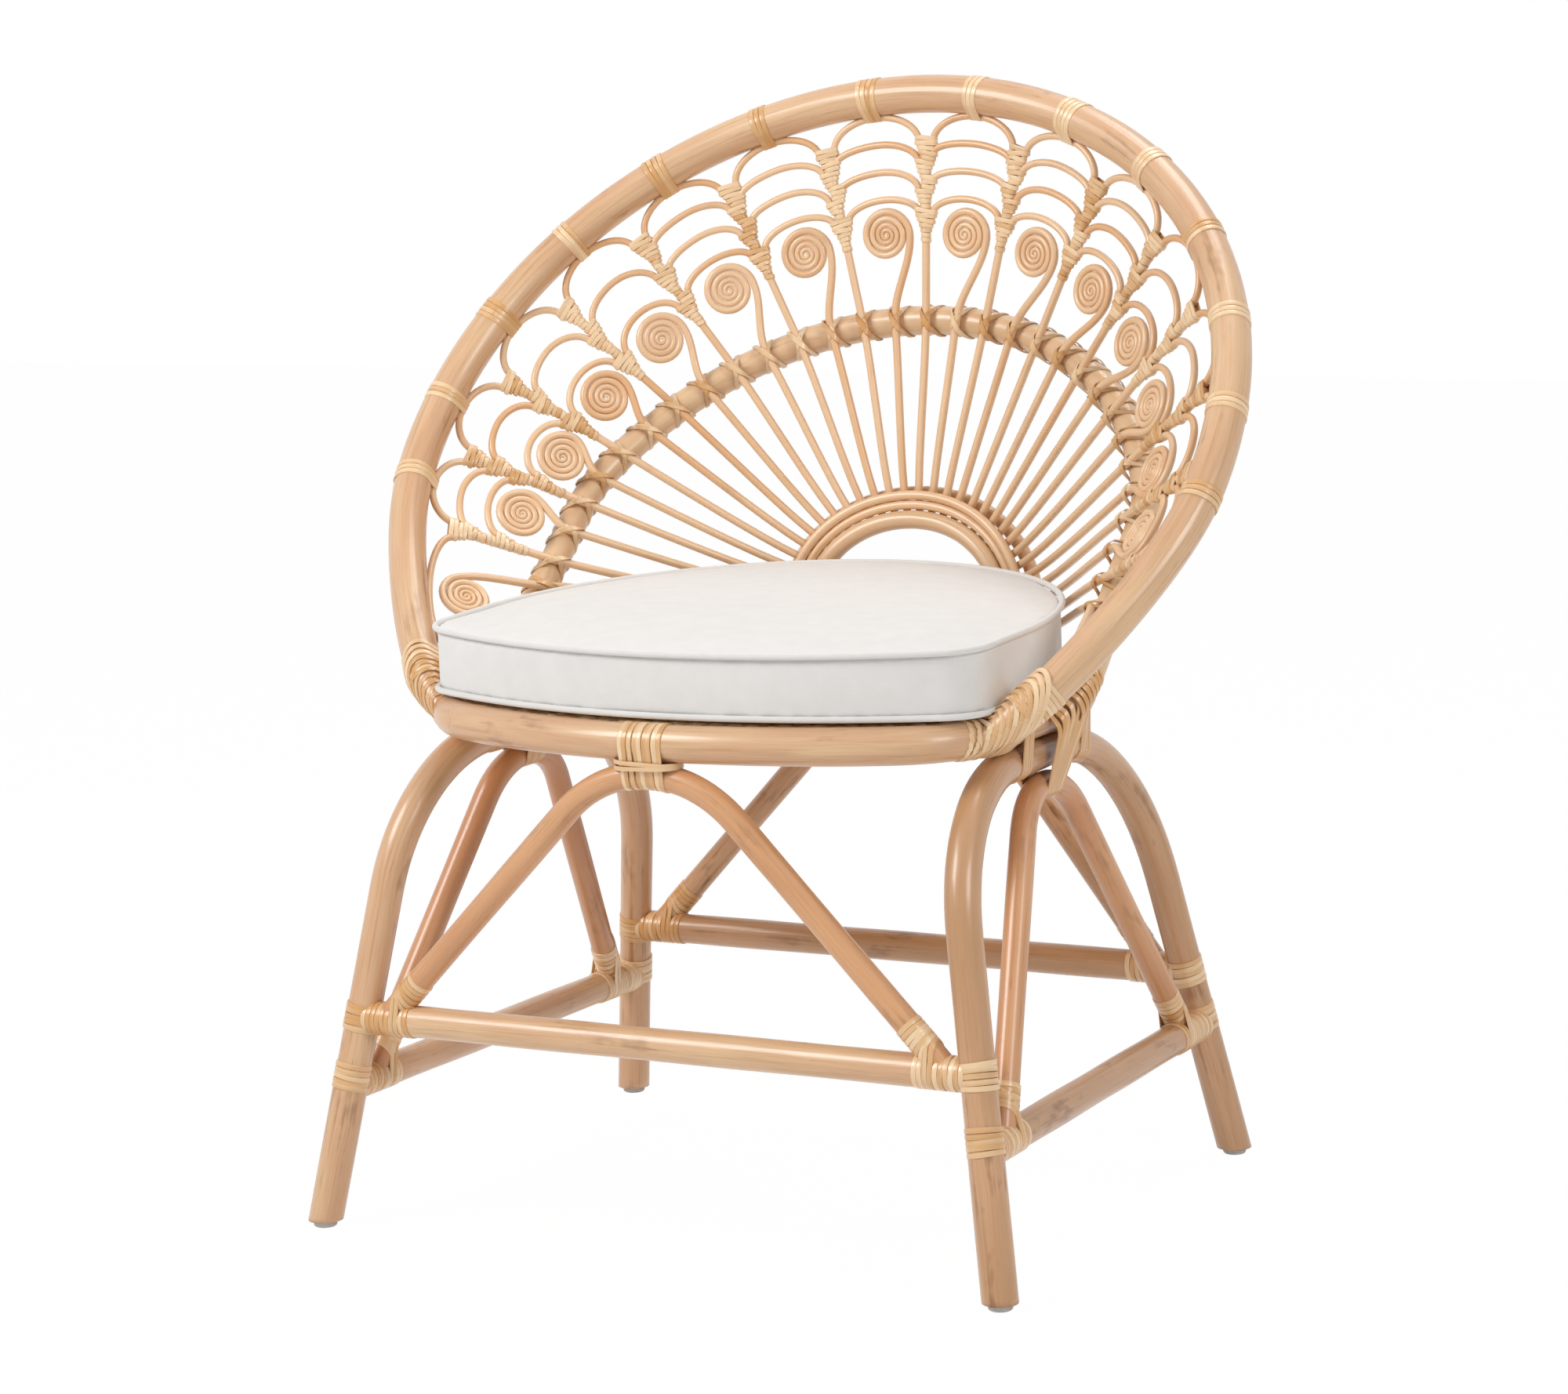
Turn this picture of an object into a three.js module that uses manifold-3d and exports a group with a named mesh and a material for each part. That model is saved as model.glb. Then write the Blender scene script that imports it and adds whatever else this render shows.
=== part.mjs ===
// Rattan peacock chair: a frame of bent poles, a back of fanned canes and a loose seat cushion.
// Millimetres, +Z up. The chair faces -Y, and left and right are as seen from the front.
import * as THREE from 'three';
import { mergeVertices } from 'three/addons/utils/BufferGeometryUtils.js';
import Module from 'manifold-3d';

const wasm = await Module();
wasm.setup();

// Gap left between two pieces that touch
const FIT = 0.3;

// Pole and cane diameters
const LEG_POLE = 28;
const RIM_POLE = 32;
const RING_POLE = 30;
const BRACE_POLE = 21;
const STRETCHER_POLE = 26;
const ARCH_POLE = 25;
const HUB_POLE = 16;
const HUB_CANE = 8;
const HUB_BACK_CANE = 12;
const SPOKE_CANE = 6.4;
const SCALLOP_CANE = 6.4;

// Seat ring, seen from above: a shallow front, round front corners and a half-round back
const SEAT_HEIGHT = 409;
const SEAT_FRONT = 207;
const SEAT_FRONT_RADIUS = 456;
const SEAT_CORNER = 85;
const SEAT_HALF_WIDTH = 240;
const SEAT_SIDE_END = 10;
const SEAT_DEPTH_BEHIND = 240;

// Legs and glides
const LEG_SPLAY = 60;
const FRONT_LEG_TOE_OUT = 5;
const BACK_FOOT_TOE_IN = 6;
const BACK_LEG_TOP_TOE_IN = 14;
const FOOT_Y = 238;
const FRONT_LEG_LEAN = 0.172;
const BACK_LEG_LEAN = 0.19;
const FRONT_LEG_BEND = 130;
const BACK_LEG_BEND = 170;
const GLIDE_HEIGHT = 8;
const GLIDE_DIAMETER = 22;
const GLIDE_EDGE = 2;

// Stretchers and braces
const FRONT_STRETCHER_HEIGHT = 170;
const BACK_STRETCHER_HEIGHT = 162;
const SIDE_STRETCHER_HEIGHT = 115;
const CROSS_BRACE_BEND = 105;
const SIDE_BRACE_BEND = 63;

// How far the braces' feet stand from the legs, along their stretcher
const CROSS_BRACE_INSET = 24.5;
const SIDE_BRACE_FRONT_INSET = 30;
const SIDE_BRACE_BACK_INSET = 38;

// Rim hoop: a leaning circle, wider than the seat, whose two ends are scarfed onto the seat ring
const RIM_OVERHANG = 125;
const RIM_SETBACK = 50;
const RIM_RISE = 203;
const RIM_LEAN = THREE.MathUtils.degToRad(41.2);
const RIM_END = THREE.MathUtils.degToRad(139);
const RIM_NARROWING = 7;
const RIM_NARROWING_START = THREE.MathUtils.degToRad(95);

// Back arch: a leaning half ellipse behind the spokes, standing against the seat ring
const ARCH_OVERHANG = 40;
const ARCH_SETBACK = 68;
const ARCH_FOOT_RISE = 79;
const ARCH_SHORTFALL = 14;
const ARCH_RISE = 205;
const ARCH_END = THREE.MathUtils.degToRad(111);
const ARCH_NARROWING = 15;
const ARCH_NARROWING_START = THREE.MathUtils.degToRad(66);

// Hub: nested half rings that stand behind the seat ring and follow its curve
const HUB_HALF_WIDTH = 117;
const HUB_RISE = 97;
const HUB_LEG_ABOVE_SEAT = 45;
const HUB_FOOT_ABOVE_SEAT = 8;
const HUB_SETBACK = 3.6;

// Fan of the back: straight spokes at whole places, scrolls and scallops half way between
const SPOKES_PER_SIDE = 7;
const RIM_STEP = THREE.MathUtils.degToRad(16.05);
const RIM_STEP_EASE = THREE.MathUtils.degToRad(0.0272);
const ARCH_STEP = THREE.MathUtils.degToRad(12.5);
const HUB_STEP = THREE.MathUtils.degToRad(13.1);
const LAST_CELL_GROWTH = 1.64;
const LAST_ARCH_PLACE = 7.4;
const SPOKE_TIP_DROP = 38.7;
const HUB_MARGIN = 6;

// Scallop rows: depth below the rim at the middle of a cell and at the spokes, and the cells each side
const FIRST_ROW_CROWN = 21;
const FIRST_ROW_FOOT = 44;
const SECOND_ROW_CROWN = 45;
const SECOND_ROW_FOOT = 62;
const THIRD_ROW_CROWN = 68;
const THIRD_ROW_FOOT = 82;
const FOURTH_ROW_CROWN = 89;
const FOURTH_ROW_FOOT = 102;
const SCALLOP_ROWS = [
  { crown: FIRST_ROW_CROWN, foot: FIRST_ROW_FOOT, cells: 8 },
  { crown: SECOND_ROW_CROWN, foot: SECOND_ROW_FOOT, cells: 7 },
  { crown: THIRD_ROW_CROWN, foot: THIRD_ROW_FOOT, cells: 7 },
  { crown: FOURTH_ROW_CROWN, foot: FOURTH_ROW_FOOT, cells: 3 },
];
const SCALLOP_STEPS = 6;

// Scrolls: a cane that thins as it winds inwards
const SCROLL_DROP = 118;
const SCROLL_DROP_EASE = 6.6e-6;
const SCROLL_RADIUS = 23;
const SCROLL_CANE = 4.8;
const SCROLL_THINNING = 0.3;
const SCROLL_GAP = 0.5;
const SCROLL_EYE = 3;
const SCROLL_STEPS_PER_TURN = 8;

// Woven deck inside the seat ring, level with its top
const DECK_THICKNESS = 8;
const DECK_INSET = 7;

// Loose cushion: a boxed cover with a zip slit at the back, and its foam
const CUSHION_FRONT_SETBACK = 4;
const CUSHION_FRONT_RADIUS = 480;
const CUSHION_CORNER = 45;
const CUSHION_OVERHANG = 7;
const CUSHION_ROUND_START = 60;
const CUSHION_BACK_INSET = 14;
const CUSHION_SEAM_LOW = 7;
const CUSHION_SEAM_HIGH = 53;
const CUSHION_BACK_RISE = 14;
const CUSHION_CROWN = 10;
const CUSHION_DRAW_IN = 4;
const COVER_CLOTH = 2;
const ZIP_LENGTH = 240;
const ZIP_GAP = 3;
const ZIP_DEPTH = 20;

// Peel lashing that ties the front brace to the front of the seat ring
const LASHING_WIDTH = 37;
const LASHING_PEEL = 2.4;

const RATTAN = { color: 0xd9b183, roughness: 0.42, metalness: 0 };
const PEEL = { color: 0xe6bf84, roughness: 0.5, metalness: 0 };
const CLOTH = { color: 0xf0eeec, roughness: 0.95, metalness: 0 };
const FOAM = { color: 0xf2e6b8, roughness: 1, metalness: 0 };
const GLIDE = { color: 0xe4e4e0, roughness: 0.4, metalness: 0 };

// Facets and steps of the round pieces
const POLE_SIDES = 8;
const RING_SIDES = 10;
const CANE_SIDES = 6;
const FINE_SIDES = 5;
const RING_STEPS = 44;
const CUSHION_STEPS = 40;
const BRACE_BEND_STEPS = 8;
const BEND_STEP = THREE.MathUtils.degToRad(15);
const LASHING_ARC_STEPS = 10;

// Places worked out from the sizes
const LEG_TOP = SEAT_HEIGHT - RING_POLE / 2 - LEG_POLE / 2 - FIT;
const SEAT_BACK = SEAT_SIDE_END + SEAT_DEPTH_BEHIND;
const DECK_TOP = SEAT_HEIGHT + RING_POLE / 2;
const RIM_RADIUS = SEAT_HALF_WIDTH + RIM_OVERHANG;
const HUB_BEND = SEAT_DEPTH_BEHIND + HUB_SETBACK;
const SPOKE_BEND = HUB_BEND + HUB_POLE / 2 + SPOKE_CANE / 2 + FIT;
const LAST_SCROLL = SPOKES_PER_SIDE + 0.5;

const chair = new THREE.Group();

function addPiece(name, geometry, finish) {
  const mesh = new THREE.Mesh(geometry, new THREE.MeshStandardMaterial(finish));
  mesh.name = name;
  chair.add(mesh);
}

// A path through exactly the stations given
class StationPath extends THREE.Curve {
  constructor(stations) {
    super();
    this.stations = stations;
  }

  getPoint(t, target = new THREE.Vector3()) {
    const place = t * (this.stations.length - 1);
    const i = Math.min(Math.floor(place), this.stations.length - 2);
    return target.lerpVectors(this.stations[i], this.stations[i + 1], place - i);
  }

  getUtoTmapping(u) {
    return u;
  }
}

function roundSection(diameter, sides) {
  const corners = [];
  for (let i = 0; i < sides; i += 1) {
    const angle = (2 * Math.PI * i) / sides;
    corners.push(new THREE.Vector2(Math.cos(angle), Math.sin(angle)).multiplyScalar(diameter / 2));
  }
  return new THREE.Shape(corners);
}

function rod(stations, diameter, sides) {
  return new THREE.ExtrudeGeometry(roundSection(diameter, sides), {
    steps: stations.length - 1,
    extrudePath: new StationPath(stations),
    bevelEnabled: false,
  });
}

function solid(geometry) {
  const bare = geometry.clone();
  bare.deleteAttribute('normal');
  bare.deleteAttribute('uv');
  const welded = mergeVertices(bare, 1e-3);
  return new wasm.Manifold(new wasm.Mesh({
    numProp: 3,
    vertProperties: new Float32Array(welded.attributes.position.array),
    triVerts: new Uint32Array(welded.index.array),
  }));
}

function cut(geometry, ...cutters) {
  let body = solid(geometry);
  for (const cutter of cutters) body = body.subtract(solid(cutter));
  const mesh = body.getMesh();
  const result = new THREE.BufferGeometry();
  result.setAttribute('position', new THREE.BufferAttribute(new Float32Array(mesh.vertProperties), 3));
  result.setIndex(new THREE.BufferAttribute(new Uint32Array(mesh.triVerts), 1));
  return result;
}

// Stations along a bent pole: straight runs between corners, each corner rounded to its radius
function bentPole(corners, radii) {
  const stations = [corners[0]];
  for (let i = 1; i < corners.length - 1; i += 1) {
    const before = corners[i - 1].clone().sub(corners[i]).normalize();
    const after = corners[i + 1].clone().sub(corners[i]).normalize();
    const half = before.angleTo(after) / 2;
    const middle = before.clone().add(after).normalize();
    const centre = corners[i].clone().addScaledVector(middle, radii[i - 1] / Math.sin(half));
    const start = corners[i].clone().addScaledVector(before, radii[i - 1] / Math.tan(half)).sub(centre);
    const axis = before.clone().cross(after).normalize();
    const turn = Math.PI - 2 * half;
    const steps = Math.ceil(turn / BEND_STEP);
    for (let j = 0; j <= steps; j += 1) {
      stations.push(start.clone().applyAxisAngle(axis, -(turn * j) / steps).add(centre));
    }
  }
  stations.push(corners.at(-1));
  return stations;
}

// Stations of an inverted V with a round top, in its own plane; at() turns (across, height) into a place
function braceStations(footA, footB, footHeight, topHeight, bend, at) {
  const middle = (footA + footB) / 2;
  const centreHeight = topHeight - bend;
  const reach = Math.hypot(footA - middle, footHeight - centreHeight);
  const lean = Math.acos(bend / reach);
  const angleA = Math.atan2(footHeight - centreHeight, footA - middle) + 2 * Math.PI - lean;
  const angleB = Math.atan2(footHeight - centreHeight, footB - middle) + lean;
  const stations = [at(footA, footHeight)];
  for (let i = 0; i <= BRACE_BEND_STEPS; i += 1) {
    const angle = angleA + ((angleB - angleA) * i) / BRACE_BEND_STEPS;
    stations.push(at(middle + bend * Math.cos(angle), centreHeight + bend * Math.sin(angle)));
  }
  stations.push(at(footB, footHeight));
  return stations;
}

// Seat ring, deck and cushion share one family of outlines
const RING_OUTLINE = {
  front: SEAT_FRONT,
  frontRadius: SEAT_FRONT_RADIUS,
  corner: SEAT_CORNER,
  halfWidth: SEAT_HALF_WIDTH,
  sideEnd: SEAT_SIDE_END,
  behind: SEAT_DEPTH_BEHIND,
};
const CUSHION_OUTLINE = {
  front: SEAT_FRONT - CUSHION_FRONT_SETBACK,
  frontRadius: CUSHION_FRONT_RADIUS,
  corner: CUSHION_CORNER,
  halfWidth: SEAT_HALF_WIDTH + CUSHION_OVERHANG,
  sideEnd: SEAT_SIDE_END - CUSHION_ROUND_START,
  behind: SEAT_DEPTH_BEHIND + CUSHION_ROUND_START - CUSHION_BACK_INSET,
};

function outlinePoints(outline, inset, count) {
  const frontRadius = outline.frontRadius - inset;
  const corner = outline.corner - inset;
  const halfWidth = outline.halfWidth - inset;
  const frontCentre = outline.frontRadius - outline.front;
  const cornerX = halfWidth - corner;
  const cornerY = frontCentre - Math.sqrt((frontRadius - corner) ** 2 - cornerX ** 2);
  const spread = Math.atan2(cornerX, frontCentre - cornerY);
  const quarter = Math.PI / 2;
  const path = new THREE.Path();
  path.absarc(0, frontCentre, frontRadius, -quarter - spread, -quarter + spread);
  path.absarc(cornerX, cornerY, corner, -quarter + spread, 0);
  path.absellipse(0, outline.sideEnd, halfWidth, outline.behind - inset, 0, 2 * quarter);
  path.absarc(-cornerX, cornerY, corner, 2 * quarter, 3 * quarter - spread);
  return path.getSpacedPoints(count).slice(0, count);
}

function ringTube(growth) {
  const points = outlinePoints(RING_OUTLINE, 0, RING_STEPS);
  const curve = new THREE.CatmullRomCurve3(points.map((p) => new THREE.Vector3(p.x, p.y, SEAT_HEIGHT)), true);
  return new THREE.TubeGeometry(curve, RING_STEPS, RING_POLE / 2 + growth, RING_SIDES, true);
}

// Legs: each side arch leans in from the feet to the seat ring, and towards the back
function sidePlane(side, y, z) {
  const rise = z / LEG_TOP;
  const toeIn = THREE.MathUtils.lerp(BACK_FOOT_TOE_IN, BACK_LEG_TOP_TOE_IN, rise);
  const toe = THREE.MathUtils.mapLinear(y, -FOOT_Y, FOOT_Y, FRONT_LEG_TOE_OUT, -toeIn);
  return new THREE.Vector3(side * (SEAT_HALF_WIDTH + LEG_SPLAY * (1 - rise) + toe), y, z);
}

function frontLeg(side, z) {
  return sidePlane(side, -FOOT_Y + FRONT_LEG_LEAN * z, z);
}

function backLeg(side, z) {
  return sidePlane(side, FOOT_Y - BACK_LEG_LEAN * z, z);
}

function sideArchRod(side, growth) {
  const below = -LEG_POLE;
  const up = [frontLeg(side, below), frontLeg(side, LEG_TOP)];
  const corners = [...up, backLeg(side, LEG_TOP), backLeg(side, below)];
  return rod(bentPole(corners, [FRONT_LEG_BEND, BACK_LEG_BEND]), LEG_POLE + 2 * growth, POLE_SIDES);
}

function buildLegs() {
  const floorBlock = new THREE.BoxGeometry(4 * SEAT_HALF_WIDTH, 4 * FOOT_Y, 4 * LEG_POLE);
  floorBlock.translate(0, 0, GLIDE_HEIGHT - 2 * LEG_POLE);
  for (const [name, side] of [['left', -1], ['right', 1]]) {
    addPiece(`side_arch_${name}`, cut(sideArchRod(side, 0), floorBlock), RATTAN);
    for (const [end, leg] of [['front', frontLeg], ['back', backLeg]]) {
      addPiece(`glide_${end}_${name}`, glide(leg(side, GLIDE_HEIGHT / 2)), GLIDE);
    }
  }
}

function glide(centre) {
  const top = GLIDE_HEIGHT - FIT;
  const profile = [
    new THREE.Vector2(0, 0),
    new THREE.Vector2(GLIDE_DIAMETER / 2 - GLIDE_EDGE, 0),
    new THREE.Vector2(GLIDE_DIAMETER / 2, GLIDE_EDGE),
    new THREE.Vector2(GLIDE_DIAMETER / 2, top),
    new THREE.Vector2(0, top),
  ];
  const geometry = new THREE.LatheGeometry(profile, POLE_SIDES);
  geometry.rotateX(Math.PI / 2);
  geometry.translate(centre.x, centre.y, 0);
  return geometry;
}

// Stretchers, fish-mouthed to the legs
const STRETCHERS = {
  front: [frontLeg(-1, FRONT_STRETCHER_HEIGHT), frontLeg(1, FRONT_STRETCHER_HEIGHT)],
  back: [backLeg(-1, BACK_STRETCHER_HEIGHT), backLeg(1, BACK_STRETCHER_HEIGHT)],
  left: [frontLeg(-1, SIDE_STRETCHER_HEIGHT), backLeg(-1, SIDE_STRETCHER_HEIGHT)],
  right: [frontLeg(1, SIDE_STRETCHER_HEIGHT), backLeg(1, SIDE_STRETCHER_HEIGHT)],
};

function stretcherRod(name, growth) {
  return rod(STRETCHERS[name], STRETCHER_POLE + 2 * growth, POLE_SIDES);
}

function buildStretchers() {
  const legs = [sideArchRod(-1, FIT), sideArchRod(1, FIT)];
  for (const name of Object.keys(STRETCHERS)) {
    addPiece(`stretcher_${name}`, cut(stretcherRod(name, 0), ...legs), RATTAN);
  }
}

// Braces stand on the stretchers and bend over under the poles that they hold
function buildBraces() {
  const crossTop = SEAT_HEIGHT - RING_POLE / 2 - BRACE_POLE / 2 - FIT;
  const sideTop = LEG_TOP - LEG_POLE / 2 - BRACE_POLE / 2 - FIT;
  const seatY = { front: -SEAT_FRONT, back: SEAT_BACK };
  for (const name of ['front', 'back']) {
    const { x: end, y: footY, z: footZ } = STRETCHERS[name][1];
    const rise = (seatY[name] - footY) / (crossTop - footZ);
    const at = (x, z) => new THREE.Vector3(x, footY + rise * (z - footZ), z);
    const foot = end - CROSS_BRACE_INSET;
    const stations = braceStations(-foot, foot, footZ, crossTop, CROSS_BRACE_BEND, at);
    addPiece(`brace_${name}`, cut(rod(stations, BRACE_POLE, POLE_SIDES), stretcherRod(name, FIT)), RATTAN);
  }
  for (const [name, side] of [['left', -1], ['right', 1]]) {
    const at = (y, z) => sidePlane(side, y, z);
    const frontFoot = STRETCHERS[name][0].y + SIDE_BRACE_FRONT_INSET;
    const backFoot = STRETCHERS[name][1].y - SIDE_BRACE_BACK_INSET;
    const stations = braceStations(frontFoot, backFoot, SIDE_STRETCHER_HEIGHT, sideTop, SIDE_BRACE_BEND, at);
    addPiece(`brace_${name}`, cut(rod(stations, BRACE_POLE, POLE_SIDES), stretcherRod(name, FIT)), RATTAN);
  }
}

// Fan geometry. A place in the fan is a whole number at a straight spoke and a half at a scroll.
// A hoop draws in at each side between two angles, most of all half way between them
function drawnIn(angle, start, end, most) {
  const past = THREE.MathUtils.mapLinear(Math.abs(angle), start, end, 0, 1);
  return past > 0 ? Math.sign(angle) * most * (4 * past * (1 - past)) ** 2 : 0;
}

function rimPoint(angle) {
  const rise = RIM_RADIUS * Math.cos(angle);
  const x = RIM_RADIUS * Math.sin(angle) - drawnIn(angle, RIM_NARROWING_START, RIM_END, RIM_NARROWING);
  const y = SEAT_SIDE_END + RIM_SETBACK + rise * Math.sin(RIM_LEAN);
  const z = SEAT_HEIGHT + RIM_RISE + rise * Math.cos(RIM_LEAN);
  return new THREE.Vector3(x, y, z);
}

// The last cell at each side, past the last spoke, is wider than the others
function rimAngle(place) {
  const past = Math.max(Math.abs(place) - SPOKES_PER_SIDE, 0);
  const spread = place + Math.sign(place) * past * LAST_CELL_GROWTH;
  return RIM_STEP * spread - RIM_STEP_EASE * spread ** 3;
}

function hubAngle(place) {
  return HUB_STEP * THREE.MathUtils.clamp(place, -LAST_SCROLL, LAST_SCROLL);
}

function archPoint(angle) {
  const narrowing = drawnIn(angle, ARCH_NARROWING_START, ARCH_END, ARCH_NARROWING);
  const x = (SEAT_HALF_WIDTH + ARCH_OVERHANG) * Math.sin(angle) - narrowing;
  const y = SEAT_SIDE_END + ARCH_SETBACK + (SEAT_DEPTH_BEHIND - ARCH_SHORTFALL) * Math.cos(angle);
  return new THREE.Vector3(x, y, SEAT_HEIGHT + ARCH_FOOT_RISE + ARCH_RISE * Math.cos(angle));
}

// A place on the hub, inset from its outer edge and bent round at a radius about the seat's back. Past a
// quarter turn from its top it lies on one of the hub's straight legs.
function hubPoint(angle, inset, bend) {
  const within = Math.abs(angle) <= Math.PI / 2;
  const across = (HUB_HALF_WIDTH - inset) * (within ? Math.sin(angle) : Math.sign(angle));
  const arc = (HUB_RISE - inset) * Math.cos(angle);
  const down = HUB_HALF_WIDTH * (Math.abs(angle) - Math.PI / 2);
  const z = SEAT_HEIGHT + HUB_LEG_ABOVE_SEAT + (within ? arc : -down);
  const turn = across / HUB_BEND;
  return new THREE.Vector3(bend * Math.sin(turn), SEAT_SIDE_END + bend * Math.cos(turn), z);
}

function archAngle(place) {
  return ARCH_STEP * THREE.MathUtils.clamp(place, -LAST_ARCH_PLACE, LAST_ARCH_PLACE);
}

// Where a spoke crosses the arch, on the sitter's side of it
function crossing(place) {
  const angle = archAngle(place);
  const onArch = archPoint(angle);
  const along = archPoint(angle + 0.01).sub(archPoint(angle - 0.01));
  const spoke = rimPoint(rimAngle(place)).sub(hubPoint(hubAngle(place), 0, SPOKE_BEND));
  const inward = along.cross(spoke).normalize();
  return onArch.addScaledVector(inward, ARCH_POLE / 2 + SPOKE_CANE / 2 + FIT);
}

// A point of the fan at a depth below the rim, with its outward, sideways and sitter-facing directions
function fanFrame(place, depth) {
  const at = (p) => {
    const rim = rimPoint(rimAngle(p));
    const inward = crossing(p).sub(rim).normalize();
    return rim.addScaledVector(inward, depth);
  };
  const point = at(place);
  const outward = rimPoint(rimAngle(place)).sub(crossing(place)).normalize();
  const sideways = at(place + 0.01).sub(at(place - 0.01)).projectOnPlane(outward).normalize();
  return { point, outward, sideways, facing: sideways.clone().cross(outward) };
}

function places(from, to, step) {
  const list = [];
  for (let place = from; place <= to + step / 4; place += step) list.push(place);
  return list;
}

function buildRim() {
  const fan = places(-LAST_SCROLL, LAST_SCROLL, 0.5).map(rimAngle);
  const last = fan.at(-1);
  const tail = [1 / 3, 2 / 3, 1].map((part) => last + (RIM_END - last) * part);
  const angles = [...tail.map((angle) => -angle).reverse(), ...fan, ...tail];
  addPiece('rim_hoop', cut(rod(angles.map(rimPoint), RIM_POLE, POLE_SIDES), ringTube(FIT)), RATTAN);
}

function buildArch() {
  const angles = places(-LAST_SCROLL, LAST_SCROLL, 0.5).map(archAngle);
  const stations = [-ARCH_END, ...angles, ARCH_END].map(archPoint);
  addPiece('back_arch', cut(rod(stations, ARCH_POLE, POLE_SIDES), ringTube(FIT)), RATTAN);
}

function buildHub() {
  const caneInset = HUB_CANE / 2;
  const innerInset = caneInset + HUB_CANE + FIT;
  const poleInset = innerInset + HUB_CANE / 2 + HUB_POLE / 2 + FIT;
  const caneBend = SPOKE_BEND - SPOKE_CANE / 2 - HUB_CANE / 2 - 2 * FIT;
  const backBend = SPOKE_BEND + SPOKE_CANE / 2 + HUB_BACK_CANE / 2 + FIT;
  const quarter = Math.PI / 2;
  const foot = quarter + (HUB_LEG_ABOVE_SEAT - HUB_FOOT_ABOVE_SEAT) / HUB_HALF_WIDTH;
  const angles = [-foot, ...places(-quarter, quarter, quarter / 8), foot];
  const half = (inset, bend, diameter, sides) => (
    cut(rod(angles.map((angle) => hubPoint(angle, inset, bend)), diameter, sides), ringTube(FIT)));
  addPiece('hub_arch', half(poleInset, HUB_BEND, HUB_POLE, POLE_SIDES), RATTAN);
  addPiece('hub_cane_inner', half(innerInset, caneBend, HUB_CANE, CANE_SIDES), RATTAN);
  addPiece('hub_cane_outer', half(caneInset, caneBend, HUB_CANE, CANE_SIDES), RATTAN);
  addPiece('hub_back_cane', half(caneInset, backBend, HUB_BACK_CANE, CANE_SIDES), RATTAN);
}

// A spoke's tail stops where the fan leaves just enough room between neighbours
function spokeCurve(spoke, end) {
  const angle = hubAngle(spoke);
  const tailInset = HUB_RISE - (SPOKE_CANE + 2 * FIT) / (HUB_STEP / 2);
  const tail = hubPoint(angle, tailInset, SPOKE_BEND);
  const root = hubPoint(angle, -HUB_MARGIN, SPOKE_BEND);
  return new THREE.CatmullRomCurve3([tail, root, crossing(spoke), end]);
}

function buildSpokes() {
  places(-SPOKES_PER_SIDE, SPOKES_PER_SIDE, 1).forEach((spoke, i) => {
    const tip = fanFrame(spoke, SPOKE_TIP_DROP).point;
    const curve = spokeCurve(spoke, tip);
    const name = `spoke_${String(i + 1).padStart(2, '0')}`;
    addPiece(name, rod([...curve.getPoints(6).slice(0, 5), tip], SPOKE_CANE, CANE_SIDES), RATTAN);
  });
}

function buildScallops() {
  const clearSpoke = SPOKE_CANE / 2 + SCALLOP_CANE / 2 + FIT;
  SCALLOP_ROWS.forEach((row, i) => {
    const stations = places(-row.cells, row.cells, 1 / SCALLOP_STEPS).map((at) => {
      const offMiddle = 2 * Math.abs(at - Math.floor(at) - 0.5);
      const frame = fanFrame(at, row.crown + (row.foot - row.crown) * offMiddle ** 2);
      return frame.point.addScaledVector(frame.facing, clearSpoke * offMiddle ** 3);
    });
    addPiece(`scallop_row_${i + 1}`, rod(stations, SCALLOP_CANE, FINE_SIDES), RATTAN);
  });
}

// A round cane of changing radius through the stations
function taperedCane(stations, radii, sides) {
  const frames = new StationPath(stations).computeFrenetFrames(stations.length - 1);
  const positions = [];
  const index = [];
  stations.forEach((station, i) => {
    for (let j = 0; j < sides; j += 1) {
      const angle = (2 * Math.PI * j) / sides;
      const point = station.clone();
      point.addScaledVector(frames.normals[i], radii[i] * Math.cos(angle));
      point.addScaledVector(frames.binormals[i], radii[i] * Math.sin(angle));
      positions.push(...point.toArray());
    }
  });
  for (let i = 0; i < stations.length - 1; i += 1) {
    for (let j = 0; j < sides; j += 1) {
      const here = i * sides + j;
      const beside = i * sides + ((j + 1) % sides);
      index.push(here, beside, here + sides, beside, beside + sides, here + sides);
    }
  }
  const last = (stations.length - 1) * sides;
  for (let j = 1; j < sides - 1; j += 1) {
    index.push(0, j + 1, j, last, last + j, last + j + 1);
  }
  const geometry = new THREE.BufferGeometry();
  geometry.setAttribute('position', new THREE.Float32BufferAttribute(positions, 3));
  geometry.setIndex(index);
  return geometry;
}

// The least gap between turns, measured on stations at least half a turn apart
function leastGap(stations, radii) {
  let least = Infinity;
  for (let i = 0; i < stations.length; i += 1) {
    for (let j = i + SCROLL_STEPS_PER_TURN / 2; j < stations.length; j += 1) {
      least = Math.min(least, stations[i].distanceTo(stations[j]) - radii[i] - radii[j]);
    }
  }
  return least;
}

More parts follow.
